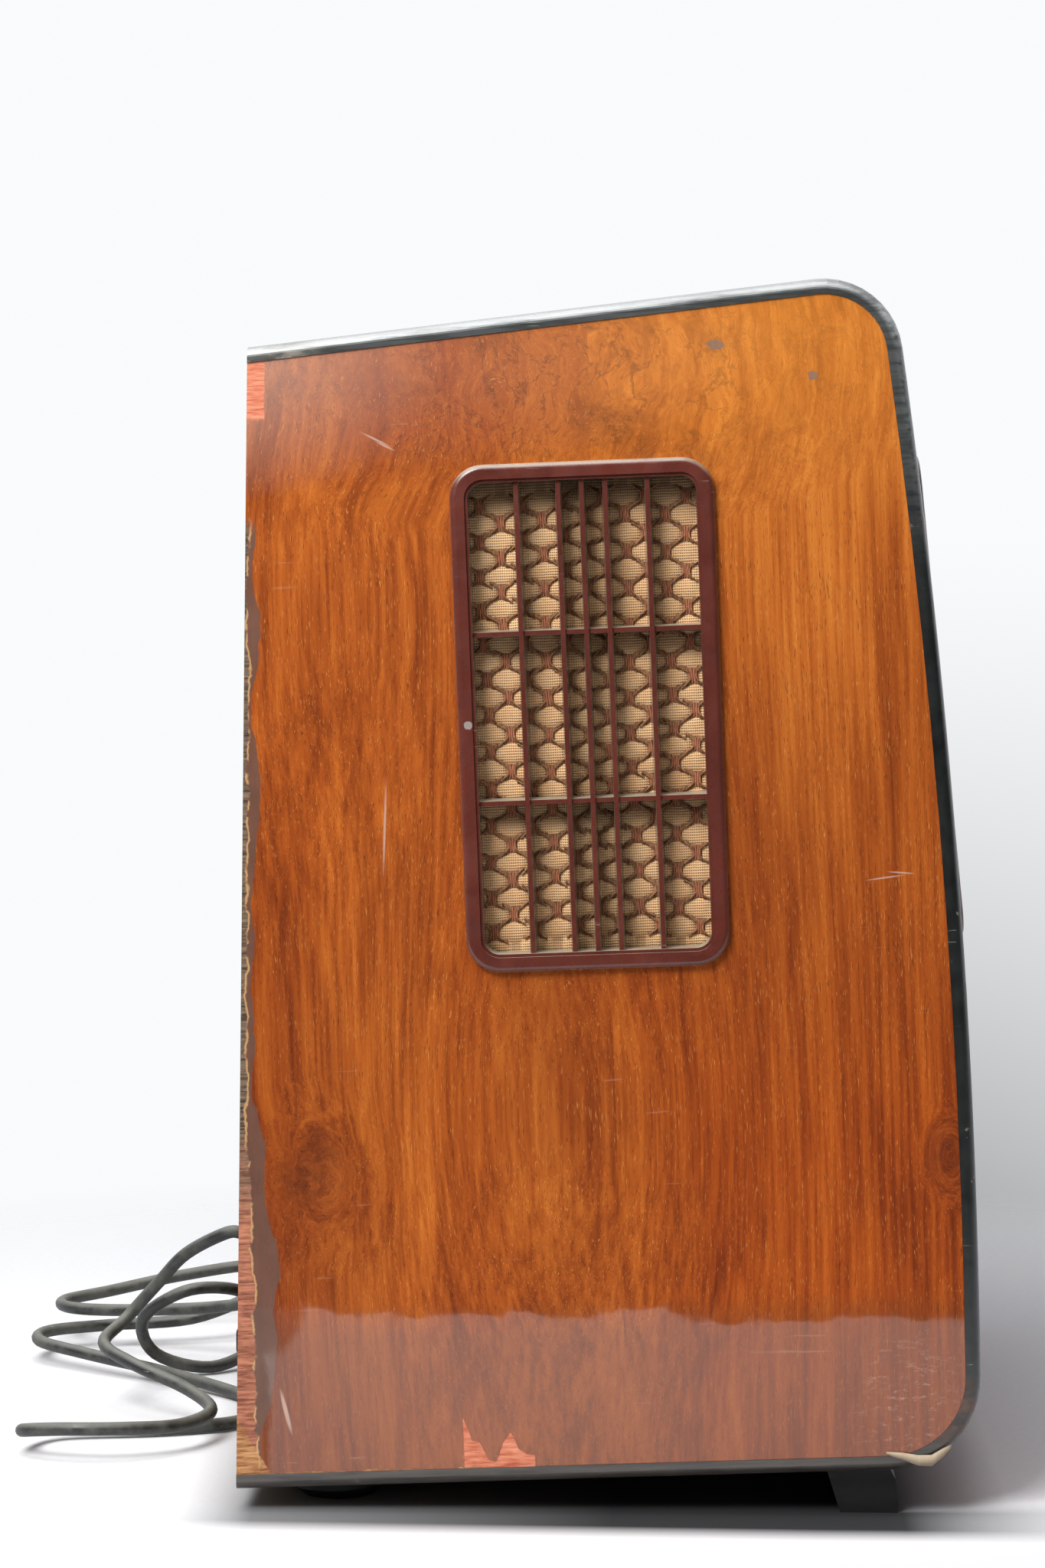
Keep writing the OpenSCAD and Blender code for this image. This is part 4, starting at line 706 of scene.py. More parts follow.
def side_damage_coats(tree, place, axis, damage):
    """Coats of filler and of bare wood, which is red low down, grey above and salmon where it is fresh."""
    fibre = ramp(tree, noise(tree, mapped(tree, place, scale=(1, 0.1, 1)), 900, 4, 0.65), 0.35, 0.65)
    red_wood = blend_colour(tree, fibre, srgb(120, 72, 58), srgb(194, 128, 100))
    pale_wood = blend_colour(tree, fibre, srgb(128, 78, 48), srgb(200, 150, 104))
    grey_wood = blend_colour(tree, fibre, srgb(58, 46, 38), srgb(134, 112, 92))
    salmon_wood = blend_colour(tree, fibre, srgb(184, 92, 68), srgb(230, 152, 120))
    redness = ramp(tree, plus(tree, axis["Z"], times(tree, damage["torn"], 0.06)), 0.190, 0.150)
    filler = blend_colour(tree, noise(tree, place, 60, 4, 0.6), srgb(84, 60, 50), srgb(116, 88, 76))
    crack = times(tree, band(tree, axis["Y"], -0.095, -0.010, 0.012),
                  ramp(tree, noise(tree, place, 150, 3), 0.42, 0.55))
    upper_edge = minus(tree, axis["Z"], plus(tree, times(tree, axis["Y"], -0.118), 0.5035))
    return [(times(tree, damage["filler"], 0.88), filler),
            (damage["raw_wood"], blend_colour(tree, redness, grey_wood, red_wood)),
            (most(tree, [damage["missing"], damage["torn_top"]]), salmon_wood),
            (most(tree, [damage["low_line"], damage["corner_wood"]]), pale_wood),
            (times(tree, damage["rim_line"], 0.8), srgb(206, 162, 110)),
            (times(tree, crack, band(tree, upper_edge, -0.001, 0.004, 0.0006)), srgb(46, 38, 34))]


print("filler reaches", round(1000 * FILLER_MOST * max(FILLER_WIDTHS), 1), "mm in from the rear edge")


# %% [markdown]
# Scratches and specks are the same spot mask, only thin and long or small and round. Each stands where
# the photograph shows it. The scuffed corner is noise that is let through by one soft spot.

# %% the side's marks
# Middle, half lengths in millimetres, turn in degrees, and softness
SCRATCHES = ((-79, 296, 0.5, 17, 4, 0.4), (-82, 468, 0.4, 6, -62, 0.4), (-86, 465, 0.4, 4, -62, 0.4),
             (-300, 266, 0.35, 7, 84, 0.4), (-307, 268, 0.35, 5, 96, 0.4), (-24, 35, 0.9, 9, -12, 0.3))
SPECKS = ((-233.5, 503.6, 3.6, 2.4, 20, 0.15), (-276, 488.5, 2.0, 1.8, 0, 0.15))


def side_marks(tree, place, ragged, scuffed):
    """Coats for scratches, specks, the scuffed corner and fine hairlines all over."""
    scratches = most(tree, [spot(tree, place, *scratch) for scratch in SCRATCHES])
    specks = most(tree, [spot(tree, ragged, *speck) for speck in SPECKS])
    return [(times(tree, scratches, 0.6), srgb(206, 176, 160)),
            (times(tree, specks, 0.8), srgb(128, 108, 96)),
            (times(tree, scuffed, 0.55), srgb(204, 178, 160)),
            scuff_coat(tree, place, 1.0, 0.12, srgb(222, 182, 150))]


print(len(SCRATCHES), "scratches and", len(SPECKS), "specks")


# %% [markdown]
# All of it comes together in one material. Where the wood is bare or the polish is dull, the coat is
# taken away, and bare wood is rough too.


# %% side veneer
def side_veneer():
    """The side panels' finish: wood, wear and a wavy clear coat."""
    material, tree = new_material("side_veneer")
    place = cabinet_place(tree)
    axis = axes(tree, place)
    ragged = shaken(tree, place, 150, 0.003)
    figure = spot(tree, place, -176, 490, 95, 40, soft=0.7)
    beyond_seam = calc(tree, "LESS_THAN", axis["Y"], -0.177)
    grain_place = side_grain_place(tree, place, figure, beyond_seam)
    wood = place_group(tree, grain, {"Vector": grain_place, "Scale": 1.0})
    damage = side_damage(tree, place, axis)
    scraped = noise(tree, mapped(tree, place, turn=(1.1, 0, 0), scale=(1, 0.30, 1)), 700, 5, 0.75)
    scuffed = times(tree, spot(tree, ragged, -303, 30, 17, 24, soft=0.7), ramp(tree, scraped, 0.55, 0.66))
    coats = side_figure(tree, place, axis, figure, beyond_seam)
    coats += side_knots_and_pores(tree, place, ragged, wood)
    coats += side_patches(tree, axis, ragged)
    coats += side_damage_coats(tree, place, axis, damage)
    coats += side_marks(tree, place, ragged, scuffed)
    colour = layered(tree, side_tones(tree, axis, ragged, wood), coats)

    stripped = most(tree, [damage[name] for name in STRIPPED])
    dull = most(tree, [spot(tree, ragged, -12, 84, 22, 24, soft=0.12),
                       spot(tree, ragged, -8, 40, 9, 44, soft=0.12)])
    unpolished = most(tree, [stripped, times(tree, scuffed, 0.6), times(tree, dull, 0.75)])
    waves = bump(tree, noise(tree, place, 17, 3, 0.4), 0.0016, 0.30)
    height = minus(tree, wood["Pale Pores"], plus(tree, wood["Dark Pores"], times(tree, stripped, 3.0)))
    roughness = ramp(tree, stripped, 0.0, 1.0, 0.45, 0.85)
    shader = finish_surface(tree, {"Base Color": colour, "Roughness": roughness,
                                   "Coat Weight": minus(tree, 1.0, unpolished), "Coat Roughness": 0.04,
                                   "Coat IOR": 1.7, "Specular IOR Level": 0.12},
                            bump(tree, height, 0.00010, 0.4, waves))
    feed(tree, shader.inputs["Coat Normal"], waves)
    return material


veneer_side = side_veneer()
print("side veneer has", len(veneer_side.node_tree.nodes), "nodes")

# %% [markdown]
# The front and the top have the same grain under the same coat, without any mark that stands at one
# place, because the photograph shows none. The inside boards are the grain once more, rough and uncoated.

# %% front veneer and bare wood
FRONT_TONES = [(0.34, srgb(104, 42, 16)), (0.46, srgb(144, 64, 23)), (0.56, srgb(176, 86, 30)),
               (0.70, srgb(204, 112, 44))]


def front_veneer():
    """The veneer of the front and the top: even grain under a clear coat."""
    material, tree = new_material("front_veneer")
    place = cabinet_place(tree)
    wood = place_group(tree, grain, {"Vector": place, "Scale": 0.9})
    colour = layered(tree, colour_steps(tree, grain_depth(tree, wood, 0.5), FRONT_TONES), [
        (times(tree, wood["Dark Pores"], 0.6), srgb(80, 32, 12)),
        (times(tree, wood["Pale Pores"], 0.5), srgb(238, 168, 92)),
        scuff_coat(tree, place, 1.0, 0.2, srgb(222, 182, 150)),
    ])
    waves = bump(tree, noise(tree, place, 17, 3, 0.4), 0.0016, 0.30)
    shader = finish_surface(tree, {"Base Color": colour, "Roughness": 0.45, "Coat Weight": 1.0,
                                   "Coat Roughness": 0.05, "Specular IOR Level": 0.12},
                            bump(tree, wood["Dark Pores"], 0.0001, 0.4, waves))
    feed(tree, shader.inputs["Coat Normal"], waves)
    return material


def bare_wood(name, dark, light, scale):
    """Unpolished wood or pressed board: the same grain, rough and without a coat."""
    material, tree = new_material(name)
    place = object_place(tree)
    depth = grain_depth(tree, place_group(tree, grain, {"Vector": place, "Scale": scale}), 0.5)
    colour = blend_colour(tree, ramp(tree, depth, 0.3, 0.7), dark, light)
    colour = layered(tree, colour, [dust_coat(tree, place, 0.5, srgb(150, 138, 120))])
    finish_surface(tree, {"Base Color": colour, "Roughness": 0.75}, bump(tree, depth, 0.0006, 0.6))
    return material


finishes = {
    "side_veneer": veneer_side,
    "veneer": front_veneer(),
    "bare_wood": bare_wood("bare_wood", srgb(146, 112, 74), srgb(204, 172, 128), 1.0),
    "fibreboard": bare_wood("fibreboard", srgb(88, 60, 38), srgb(132, 96, 64), 2.2),
}
print("wooden finishes:", list(finishes))

# %% [markdown]
# ## Mouldings, feet and moulded pieces
# The mouldings and feet are black lacquer with dull scuffs, and the top rear end is worn down to grey
# wood. The grilles and knobs are a dark red-brown moulding compound with a soft polish, faintly
# mottled, with pale dust on every ledge that looks up.


# %% black lacquer
def black_lacquer():
    """Black chipped mouldings, a painted highlight on the top one, worn to the wood at its rear end."""
    material, tree = new_material("black_lacquer")
    place = cabinet_place(tree)
    height = axes(tree, place)["Z"]
    facing = facing_way(tree)["Z"]
    ragged = shaken(tree, place, 90, 0.006)
    patches = noise(tree, mapped(tree, place, scale=(1, 0.3, 1)), 170, 5, 0.7)
    patchy = ramp(tree, patches, 0.44, 0.56, 0.1, 1.0)
    chipped = ramp(tree, noise(tree, mapped(tree, place, scale=(1, 0.5, 0.5)), 130, 5, 0.7), 0.66, 0.70)
    rear_end = times(tree, spot(tree, ragged, -20, 511, 32, 16, soft=0.3), patchy)
    front_bend = times(tree, spot(tree, ragged, -326, 24, 9, 16, soft=0.4), patchy)
    worn = most(tree, [rear_end, times(tree, chipped, 0.7)])
    lengthwise = noise(tree, mapped(tree, place, scale=(1, 0.06, 1)), 420, 4, 0.65)
    # A painted highlight: the top moulding is pale where it faces a little upwards, in streaks along it.
    painted_highlight = times(tree, ramp(tree, facing, -0.05, 0.40), ramp(tree, height, 0.40, 0.46),
                   ramp(tree, lengthwise, 0.36, 0.56, 0.35, 0.95))
    low_edge = times(tree, ramp(tree, height, 0.020, 0.006), ramp(tree, lengthwise, 0.3, 0.6, 0.15, 0.7))
    fibres = noise(tree, mapped(tree, place, scale=(1, 0.1, 1)), 400, 4)
    bare = blend_colour(tree, fibres, srgb(96, 84, 72), srgb(166, 150, 132))
    pale = blend_colour(tree, ramp(tree, facing, 0.25, 0.80), srgb(190, 194, 192), srgb(62, 64, 63))
    colour = layered(tree, mottled(tree, place, 70, 5, 0.65, srgb(20, 21, 21), srgb(42, 45, 44)), [
        (worn, bare),
        (painted_highlight, pale),
        (low_edge, srgb(88, 80, 74)),
        (times(tree, front_bend, 0.55), srgb(112, 78, 62)),
        dust_coat(tree, place, 0.22, srgb(128, 130, 122)),
        scuff_coat(tree, place, 1.4, 0.6, srgb(150, 150, 142)),
    ])
    roughness = ramp(tree, most(tree, [worn, front_bend]), 0.0, 1.0, 0.3, 0.8)
    finish_surface(tree, {"Base Color": colour, "Roughness": roughness, "Coat Weight": 0.6,
                          "Coat Roughness": 0.22}, bump(tree, noise(tree, place, 180, 3), 0.0006, 0.35))
    return material


def foot_black():
    """The feet: a duller and darker black."""
    material, tree = new_material("foot_black")
    place = object_place(tree)
    tone = layered(tree, mottled(tree, place, 90, 5, 0.65, srgb(5, 5, 5), srgb(15, 15, 14)),
                   [scuff_coat(tree, place, 1.4, 0.4, srgb(60, 60, 56))])
    finish_surface(tree, {"Base Color": tone, "Roughness": 0.55},
                   bump(tree, noise(tree, place, 220, 3), 0.0006, 0.35))
    return material


finishes["black_lacquer"] = black_lacquer()
finishes["foot"] = foot_black()
print("black lacquer has", len(finishes["black_lacquer"].node_tree.nodes), "nodes")

# %% [markdown]
# The compound has more dust in the sunken steps of a side grille, where nothing wipes it away: there
# the flanks are pale with dust and the bottom is darker, in patches. How deep a point lies in the grille
# is read from its distance to the middle of the radio, which is its x. Two flecks are set where the real
# ones are.

# %% moulding compound
SIDE_WALL = 0.2
FLECKS = (((-0.2190, -0.0465, 0.4295), 0.0016, srgb(238, 236, 230)),
          ((-0.2190, 0.0645, 0.3546), 0.0021, srgb(150, 138, 130)))


def moulding_compound(name, dark, light, dusty):
    """The grilles, knobs and plug: mottled, softly polished and dusty."""
    material, tree = new_material(name)
    place = object_place(tree)
    sideways = calc(tree, "ABSOLUTE", axes(tree, place)["X"])
    sunken = times(tree, ramp(tree, sideways, 0.2186, 0.2160), dusty,
                   calc(tree, "GREATER_THAN", sideways, SIDE_WALL))
    patchiness = ramp(tree, noise(tree, place, 160, 4, 0.6), 0.3, 0.65, 0.25, 0.7)
    # Deep in the grille the compound is darker, in patches.
    deep_down = times(tree, sunken, ramp(tree, sideways, 0.2130, 0.2085))
    flank = ramp(tree, calc(tree, "ABSOLUTE", facing_way(tree)["X"]), 0.94, 0.60)
    coats = [(times(tree, deep_down, patchiness), srgb(54, 42, 35)),
             (times(tree, flank, sunken, ramp(tree, patchiness, 0.25, 0.7, 0.45, 0.9)), srgb(138, 128, 108))]
    ragged = shaken(tree, place, 600, 0.0006)
    for middle, size, shade in FLECKS:
        distance = length_of(tree, vectors(tree, "SUBTRACT", ragged, middle))
        coats.append((times(tree, ramp(tree, distance, size, size * 0.8), dusty), shade))
    grime, grime_shade = dust_coat(tree, place, dusty, srgb(168, 156, 134))
    coats += [(grime, grime_shade), scuff_coat(tree, place, 1.3, 0.4, srgb(190, 160, 150))]
    swirls = ramp(tree, noise(tree, place, 30, 5, 0.6, 1.0), 0.3, 0.7)
    colour = layered(tree, blend_colour(tree, swirls, dark, light), coats)
    film = ramp(tree, noise(tree, place, 120, 4), 0.3, 0.7, 0.20, 0.36)
    roughness = most(tree, [film, times(tree, grime, 0.9)])
    finish_surface(tree, {"Base Color": colour, "Roughness": roughness, "Coat Weight": 0.25,
                          "Coat Roughness": 0.12}, bump(tree, noise(tree, place, 240, 3), 0.0004, 0.25))
    return material


finishes["bakelite"] = moulding_compound("red_brown_compound", srgb(82, 38, 30), srgb(102, 48, 38), 1.0)
finishes["plug_bakelite"] = moulding_compound("plug_compound", srgb(18, 18, 18), srgb(36, 35, 34), 0.5)
print("compound has", len(finishes["bakelite"].node_tree.nodes), "nodes")

# %% [markdown]
# ## Metals, glass and the plain inside finishes
# Behind the dial glass and the back cover are plated steel, brass, cans, glass and laminates. One
# function makes the metals, with a brushed surface, and one makes the plain plastics, papers and paints.
# Real metal is never even: fine noise moves its roughness, and dust dulls what looks up.


# %% inside finishes
def metal(name, dark, light, rough, dusty=0.4):
    """Brushed metal that is tarnished in patches; where dust lies on it, it isn't metallic."""
    material, tree = new_material(name)
    place = object_place(tree)
    brushing = noise(tree, mapped(tree, place, scale=(1, 1, 0.05)), 700, 3, 0.6)
    tarnish = times(tree, ramp(tree, noise(tree, place, 30, 5, 0.65), 0.4, 0.7), 0.5)
    grime, grime_shade = dust_coat(tree, place, dusty, srgb(140, 132, 118))
    colour = layered(tree, light, [(tarnish, dark), (grime, grime_shade)])
    roughness = ramp(tree, brushing, 0.2, 0.8, max(rough - 0.1, 0.05), rough + 0.15)
    finish_surface(tree, {"Base Color": colour, "Roughness": roughness, "Metallic": minus(tree, 1.0, grime)},
                   bump(tree, brushing, 0.0002, 0.4))
    return material


def plain_finish(name, dark, light, rough, speckles=120, height=0.0003, dusty=0.4):
    """Plastic, paper, paint or cord: two shades in fine speckles, which are its relief too."""
    material, tree = new_material(name)
    place = object_place(tree)
    speckle = noise(tree, place, speckles, 5, 0.6)
    colour = layered(tree, blend_colour(tree, ramp(tree, speckle, 0.3, 0.7), dark, light),
                     [dust_coat(tree, place, dusty, srgb(146, 138, 122))])
    roughness = ramp(tree, noise(tree, place, speckles * 2, 3), 0.3, 0.7, rough - 0.08, rough + 0.08)
    finish_surface(tree, {"Base Color": colour, "Roughness": roughness}, bump(tree, speckle, height, 0.5))
    return material


def clear_glass(name, tint, rough):
    """Glass with a plain transmission; only its roughness changes over the surface, as dust does it."""
    material, tree = new_material(name)
    smear = ramp(tree, noise(tree, object_place(tree), 35, 5, 0.65), 0.35, 0.75, rough, rough + 0.10)
    finish_surface(tree, {"Base Color": tint, "Roughness": smear, "Transmission Weight": 1.0, "IOR": 1.45})
    return material


# Dark and light tone, roughness, and the dust where it isn't 0.4
METALS = {
    "bright_steel": (srgb(120, 116, 108), srgb(198, 198, 196), 0.32),
    "chassis_plate": (srgb(118, 110, 96), srgb(178, 176, 168), 0.42),
    "can": (srgb(140, 138, 132), srgb(206, 208, 210), 0.35, 0.6),
    "brass": (srgb(122, 92, 46), srgb(206, 168, 92), 0.3),
}
# Dark and light tone, roughness, and where they differ the speckles, the relief and the dust
PLAIN_FINISHES = {
    "dial_paint": (srgb(206, 190, 146), srgb(232, 220, 180), 0.45, 60, 0.0001, 0.1),
    "dial_print": (srgb(56, 32, 22), srgb(80, 48, 34), 0.5, 200, 0.0001, 0.05),
    "pointer_red": (srgb(132, 24, 20), srgb(168, 34, 26), 0.4, 90, 0.0001, 0.2),
    "basket_paint": (srgb(44, 46, 50), srgb(66, 68, 72), 0.55),
    "cone_paper": (srgb(40, 36, 32), srgb(62, 54, 46), 0.9, 260, 0.0006),
    "magnet_iron": (srgb(36, 36, 40), srgb(58, 58, 60), 0.6, 160, 0.0008),
    "laminations": (srgb(40, 38, 38), srgb(70, 64, 60), 0.6, 300, 0.0006),
    "brown_laminate": (srgb(74, 40, 22), srgb(112, 66, 38), 0.5, 200),
    "valve_base": (srgb(24, 20, 20), srgb(42, 34, 32), 0.3, 90),
    "drum_plastic": (srgb(176, 166, 130), srgb(212, 204, 172), 0.5),
    "waxed_cord": (srgb(142, 120, 84), srgb(178, 156, 114), 0.8, 900, 0.0004),
}
for name, values in METALS.items():
    finishes[name] = metal(name, *values)
for name, values in PLAIN_FINISHES.items():
    finishes[name] = plain_finish(name, *values)
finishes["glass"] = clear_glass("dial_glass", (0.93, 0.96, 0.95, 1), 0.02)
finishes["lamp_glass"] = clear_glass("lamp_glass", (1.0, 0.93, 0.75, 1), 0.05)
finishes["valve_glass"] = clear_glass("valve_glass", (0.82, 0.88, 0.88, 1), 0.03)
print(len(METALS), "metals and", len(PLAIN_FINISHES), "plain finishes")

# %% [markdown]
# The cord's rubber has gone dull in patches, which is called bloom: there it is paler and rougher. The
# same noise drives both, so the pale patches are the rough ones.


# %% rubber
def rubber():
    """Old dark rubber: grey bloom in patches and a chalky dust on top."""
    material, tree = new_material("old_rubber")
    place = object_place(tree)
    pale_patches = ramp(tree, noise(tree, place, 55, 6, 0.7), 0.42, 0.68)
    colour = layered(tree, srgb(30, 32, 32), [
        (times(tree, pale_patches, 0.55), srgb(104, 106, 98)),
        dust_coat(tree, place, 0.45, srgb(132, 130, 118)),
        scuff_coat(tree, place, 1.6, 0.6, srgb(150, 148, 136)),
    ])
    finish_surface(tree, {"Base Color": colour, "Roughness": ramp(tree, pale_patches, 0.0, 1.0, 0.42, 0.75)},
                   bump(tree, noise(tree, place, 300, 3), 0.0004, 0.4))
    return material


finishes["rubber"] = rubber()
cord.data.materials.append(finishes["rubber"])
print(len(finishes), "finishes")

# %% [markdown]
# ## Dressing the solids
# Every solid keeps its mesh, and each one whose slot has a finish here gets that finish. The record
# says which slot each one has, so one loop dresses them. The two side panels have their own veneer, and
# the feet are duller than the mouldings.

# %% dress the solids
own_finish = {"side_panel_left": "side_veneer", "side_panel_right": "side_veneer",
              "front_foot_rail": "foot", "rear_feet": "foot"}
dressed = 0
for entry in frame["record"]["subparts"]:
    name, slot = entry["node"], entry["material_slot"]
    finish = finishes.get(own_finish.get(name, slot))
    if finish is None:
        continue
    piece = frame["nodes"][name]
    piece.data.materials.clear()
    piece.data.materials.append(finish)
    dressed += 1
print("dressed", dressed, "of", len(frame["nodes"]), "solids; the others are replaced further down")

# %% [markdown]
# ## Grille cloth
# The cloth is an open weave that is tied into a honeycomb: reddish ties pull it together in staggered
# columns, and between them it bulges out in six-sided cells. A photograph of cloth could be laid on a
# flat sheet, but here the relief is real, so the bars' shadows bend over it. The sheet is a fine grid
# whose height follows the distance from the nearest cell edge. A tie and the folds beside it are two
# small meshes, which Geometry Nodes set on the same list of points.

# %% cloth pattern
COLUMN = 0.0092
REPEAT = 0.0159
CELL_HALF_W, CELL_HALF_H = 0.0072, 0.0052
CELL_SLOPE, SLOPE_COSINE = 0.4615, 0.908
TIE_W, TIE_H = 0.0044, 0.0066
ROUNDED_BY = 0.0013
TIE_MARGIN = 0.002


def slack(s, t):
    """How far old, slack cloth has wandered from its pattern at a point."""
    a = math.sin(61 * s + 1.3) * math.cos(47 * t + 0.4)
    b = math.sin(39 * t - 52 * s + 2.0)
    return 0.0011 * a, 0.0013 * b


def cell_height(s, t):
    """0 at the edge of a cell or in a tie, 1 in the middle of a cell."""
    ds, dt = slack(s, t)
    s, t = s + ds, t + dt
    best = 0.0
    column = round(s / COLUMN)
    for i in (column - 1, column, column + 1):
        lift = REPEAT / 2 if i % 2 else 0.0
        row = round((t - lift) / REPEAT)
        x, z = abs(s - i * COLUMN), abs(t - lift - row * REPEAT)
        slope = CELL_HALF_H - max(x - TIE_W / 2, 0) * CELL_SLOPE - z
        inside = min(CELL_HALF_W - x, slope * SLOPE_COSINE)
        best = max(best, inside)
    return 1 - math.exp(-best / ROUNDED_BY)


def tie_points(width, height):
    """Places of the ties, between cells that stand above each other."""
    places = []
    for i in range(-round(width / 2 / COLUMN), round(width / 2 / COLUMN) + 1):
        lift = REPEAT / 2 if i % 2 else 0.0
        for row in range(-round(height / 2 / REPEAT) - 1, round(height / 2 / REPEAT) + 1):
            s, t = i * COLUMN, lift + (row + 0.5) * REPEAT
            ds, dt = slack(s, t)
            if abs(s) < width / 2 - TIE_MARGIN and abs(t) < height / 2 - TIE_MARGIN:
                places.append((s - ds, t - dt))
    return places


SIDE_OPENING, SIDE_FULL = (0.101, 0.209), (0.129, 0.237)
FRONT_OPENING, FRONT_FULL = (0.274, 0.209), (0.288, 0.223)
print(len(tie_points(*SIDE_OPENING)), "ties behind a side grille")

# %% cloth sheet
PINNED_RIM = 0.004
RELIEF = 0.0017


def cloth_sheet(name, to_world, opening, full, step):
    """A grid in the cloth's own frame: s across, t up, and out towards the viewer."""
    count_s, count_t = round(full[0] / step), round(full[1] / step)
    verts, uvs, folds = [], [], []
    for j in range(count_t + 1):
        for i in range(count_s + 1):
            s, t = (i / count_s - 0.5) * full[0], (j / count_t - 0.5) * full[1]
            edge = min(opening[0] / 2 - abs(s), opening[1] / 2 - abs(t))
            free = min(max(edge / PINNED_RIM, 0.0), 1.0)
            sag = 0.25 * math.sin(23 * s + 1) * math.sin(17 * t)
            bulge = cell_height(s, t)
            out = free * (RELIEF * bulge - 0.45 * RELIEF + 0.0003 * sag)
            verts.append(to_world(s, t, out))
            uvs.append((s, t))
            folds.append(bulge)
    row = count_s + 1
    faces = [(j * row + i, j * row + i + 1, (j + 1) * row + i + 1, (j + 1) * row + i)
             for j in range(count_t) for i in range(count_s)]
    mesh = bpy.data.meshes.new(name)
    mesh.from_pydata(verts, [], faces)
    layer = mesh.uv_layers.new(name="weave")
    for loop in mesh.loops:
        layer.data[loop.index].uv = uvs[loop.vertex_index]
    mesh.attributes.new("bulge", "FLOAT", "POINT").data.foreach_set("value", folds)
    mesh.shade_smooth()
    return link(bpy.data.objects.new(name, mesh))


print("a cell is", 2000 * CELL_HALF_W, "mm wide and", 2000 * CELL_HALF_H, "mm high")

# %% [markdown]
# The weave itself is far too fine to model: a row of small brown gaps every 1.2 mm. It is drawn on the
# sheet's own UV map, in metres, so it follows the bulges, and the same pattern drives a small bump.

# %% cloth material
# Gap pitch in millimetres; heights in metres from the middle of two lines of painted shade under the bars
THREAD_ACROSS, THREAD_UP = 0.98, 1.22
PAINTED_SHADE_LINES = ((0.0270, 0.0360), (-0.0480, -0.0390))


def in_thread(tree, place, pitch):
    """How far a place is from the middle of its gap between threads: 0 there, 0.5 on the thread."""
    threads = times(tree, place, 1000 / pitch)
    return calc(tree, "ABSOLUTE", minus(tree, calc(tree, "FRACT", threads), 0.5))


def grille_weave():
    """Tan open weave, brown in its gaps and folds, with painted shade in its creases and under the rim and
    bars.
    """
    material, tree = new_material("grille_weave")
    uv = node(tree, "UVMap", uv_map="weave").outputs[0]
    axis = axes(tree, shaken(tree, uv, 140, 0.00035))
    s_in, t_in = in_thread(tree, axis["X"], THREAD_ACROSS), in_thread(tree, axis["Y"], THREAD_UP)
    gap = times(tree, ramp(tree, s_in, 0.34, 0.14), ramp(tree, t_in, 0.30, 0.10))
    thread = plus(tree, times(tree, ramp(tree, s_in, 0.5, 0.0), 0.5),
                  times(tree, ramp(tree, t_in, 0.0, 0.5), 0.5))
    stain = ramp(tree, noise(tree, object_place(tree), 28, 4, 0.6), 0.35, 0.7)
    bulge = node(tree, "Attribute", attribute_name="bulge").outputs["Fac"]
    height = axes(tree, uv)["Y"]
    # Painted shade: the cloth darkens under the top rim and under the two cross bars.
    painted_shade = most(tree, [ramp(tree, height, 0.082, 0.101)]
                 + [times(tree, band(tree, height, low, high, 0.004), 0.6) for low, high in PAINTED_SHADE_LINES])
    colour = layered(tree, srgb(248, 200, 146), [
        (stain, srgb(222, 166, 113)),
        (times(tree, noise(tree, uv, 900, 2), 0.5), srgb(251, 214, 162)),
        (times(tree, gap, 0.88), srgb(96, 54, 34)),
        # Darker towards the cell edges and ties: the brown of the gathered threads, and painted shade in the
        # creases.
        (ramp(tree, bulge, 0.30, 0.03, 0.0, 0.40), srgb(112, 70, 44)),
        (times(tree, painted_shade, 0.6), srgb(74, 50, 34)),
    ])
    finish_surface(tree, {"Base Color": colour, "Roughness": 0.9, "Sheen Weight": 0.25,
                          "Sheen Roughness": 0.5}, bump(tree, minus(tree, thread, gap), 0.0005, 0.7))
    return material


def tie_thread(name, dark, light):
    """Thick soft thread with strands along it."""
    material, tree = new_material(name)
    strands = noise(tree, mapped(tree, object_place(tree), scale=(1, 1, 0.15)), 1600, 3, 0.6)
    colour = blend_colour(tree, ramp(tree, strands, 0.3, 0.7), dark, light)
    finish_surface(tree, {"Base Color": colour, "Roughness": 0.85}, bump(tree, strands, 0.0004, 0.8))
    return material


weave = grille_weave()
tie_red = tie_thread("tie_thread", srgb(128, 72, 48), srgb(196, 128, 92))
fold_tan = tie_thread("fold_thread", srgb(84, 50, 32), srgb(186, 134, 90))
print("the cloth's materials:", weave.name, tie_red.name, fold_tan.name)

# %% [markdown]
# A tie is a short ribbon of four thin tubes side by side. The folds are twelve tubes that fan out from
# it, three at each corner. A tube needs only a few sides, because hundreds of them are set.


# %% tie and folds
def tube(points, radius, sides):
    """Vertices and faces of a thin tube along some points."""
    verts, faces = [], []
    for k, point in enumerate(points):
        ahead = points[min(k + 1, len(points) - 1)] - points[max(k - 1, 0)]
        u = ahead.normalized().cross(Vector((0, 0, 1))).normalized()
        v = ahead.normalized().cross(u)
        for side in range(sides):
            angle = 2 * math.pi * side / sides
            verts.append(point + radius * (math.cos(angle) * u + math.sin(angle) * v))
    for k in range(len(points) - 1):
        for side in range(sides):
            a, b = k * sides + side, k * sides + (side + 1) % sides
            faces.append((a, a + sides, b + sides, b))
    return verts, faces


def small_mesh(name, parts, finish):
    """One mesh of several tubes, as a source for the Geometry Nodes; its z points outwards."""
    verts, faces = [], []
    for part_verts, part_faces in parts:
        base = len(verts)
        verts.extend(tuple(v) for v in part_verts)
        faces.extend(tuple(base + n for n in face) for face in part_faces)
    mesh = bpy.data.meshes.new(name)
    mesh.from_pydata(verts, [], faces)
    mesh.materials.append(finish)
    mesh.shade_smooth()
    return bpy.data.objects.new(name, mesh)


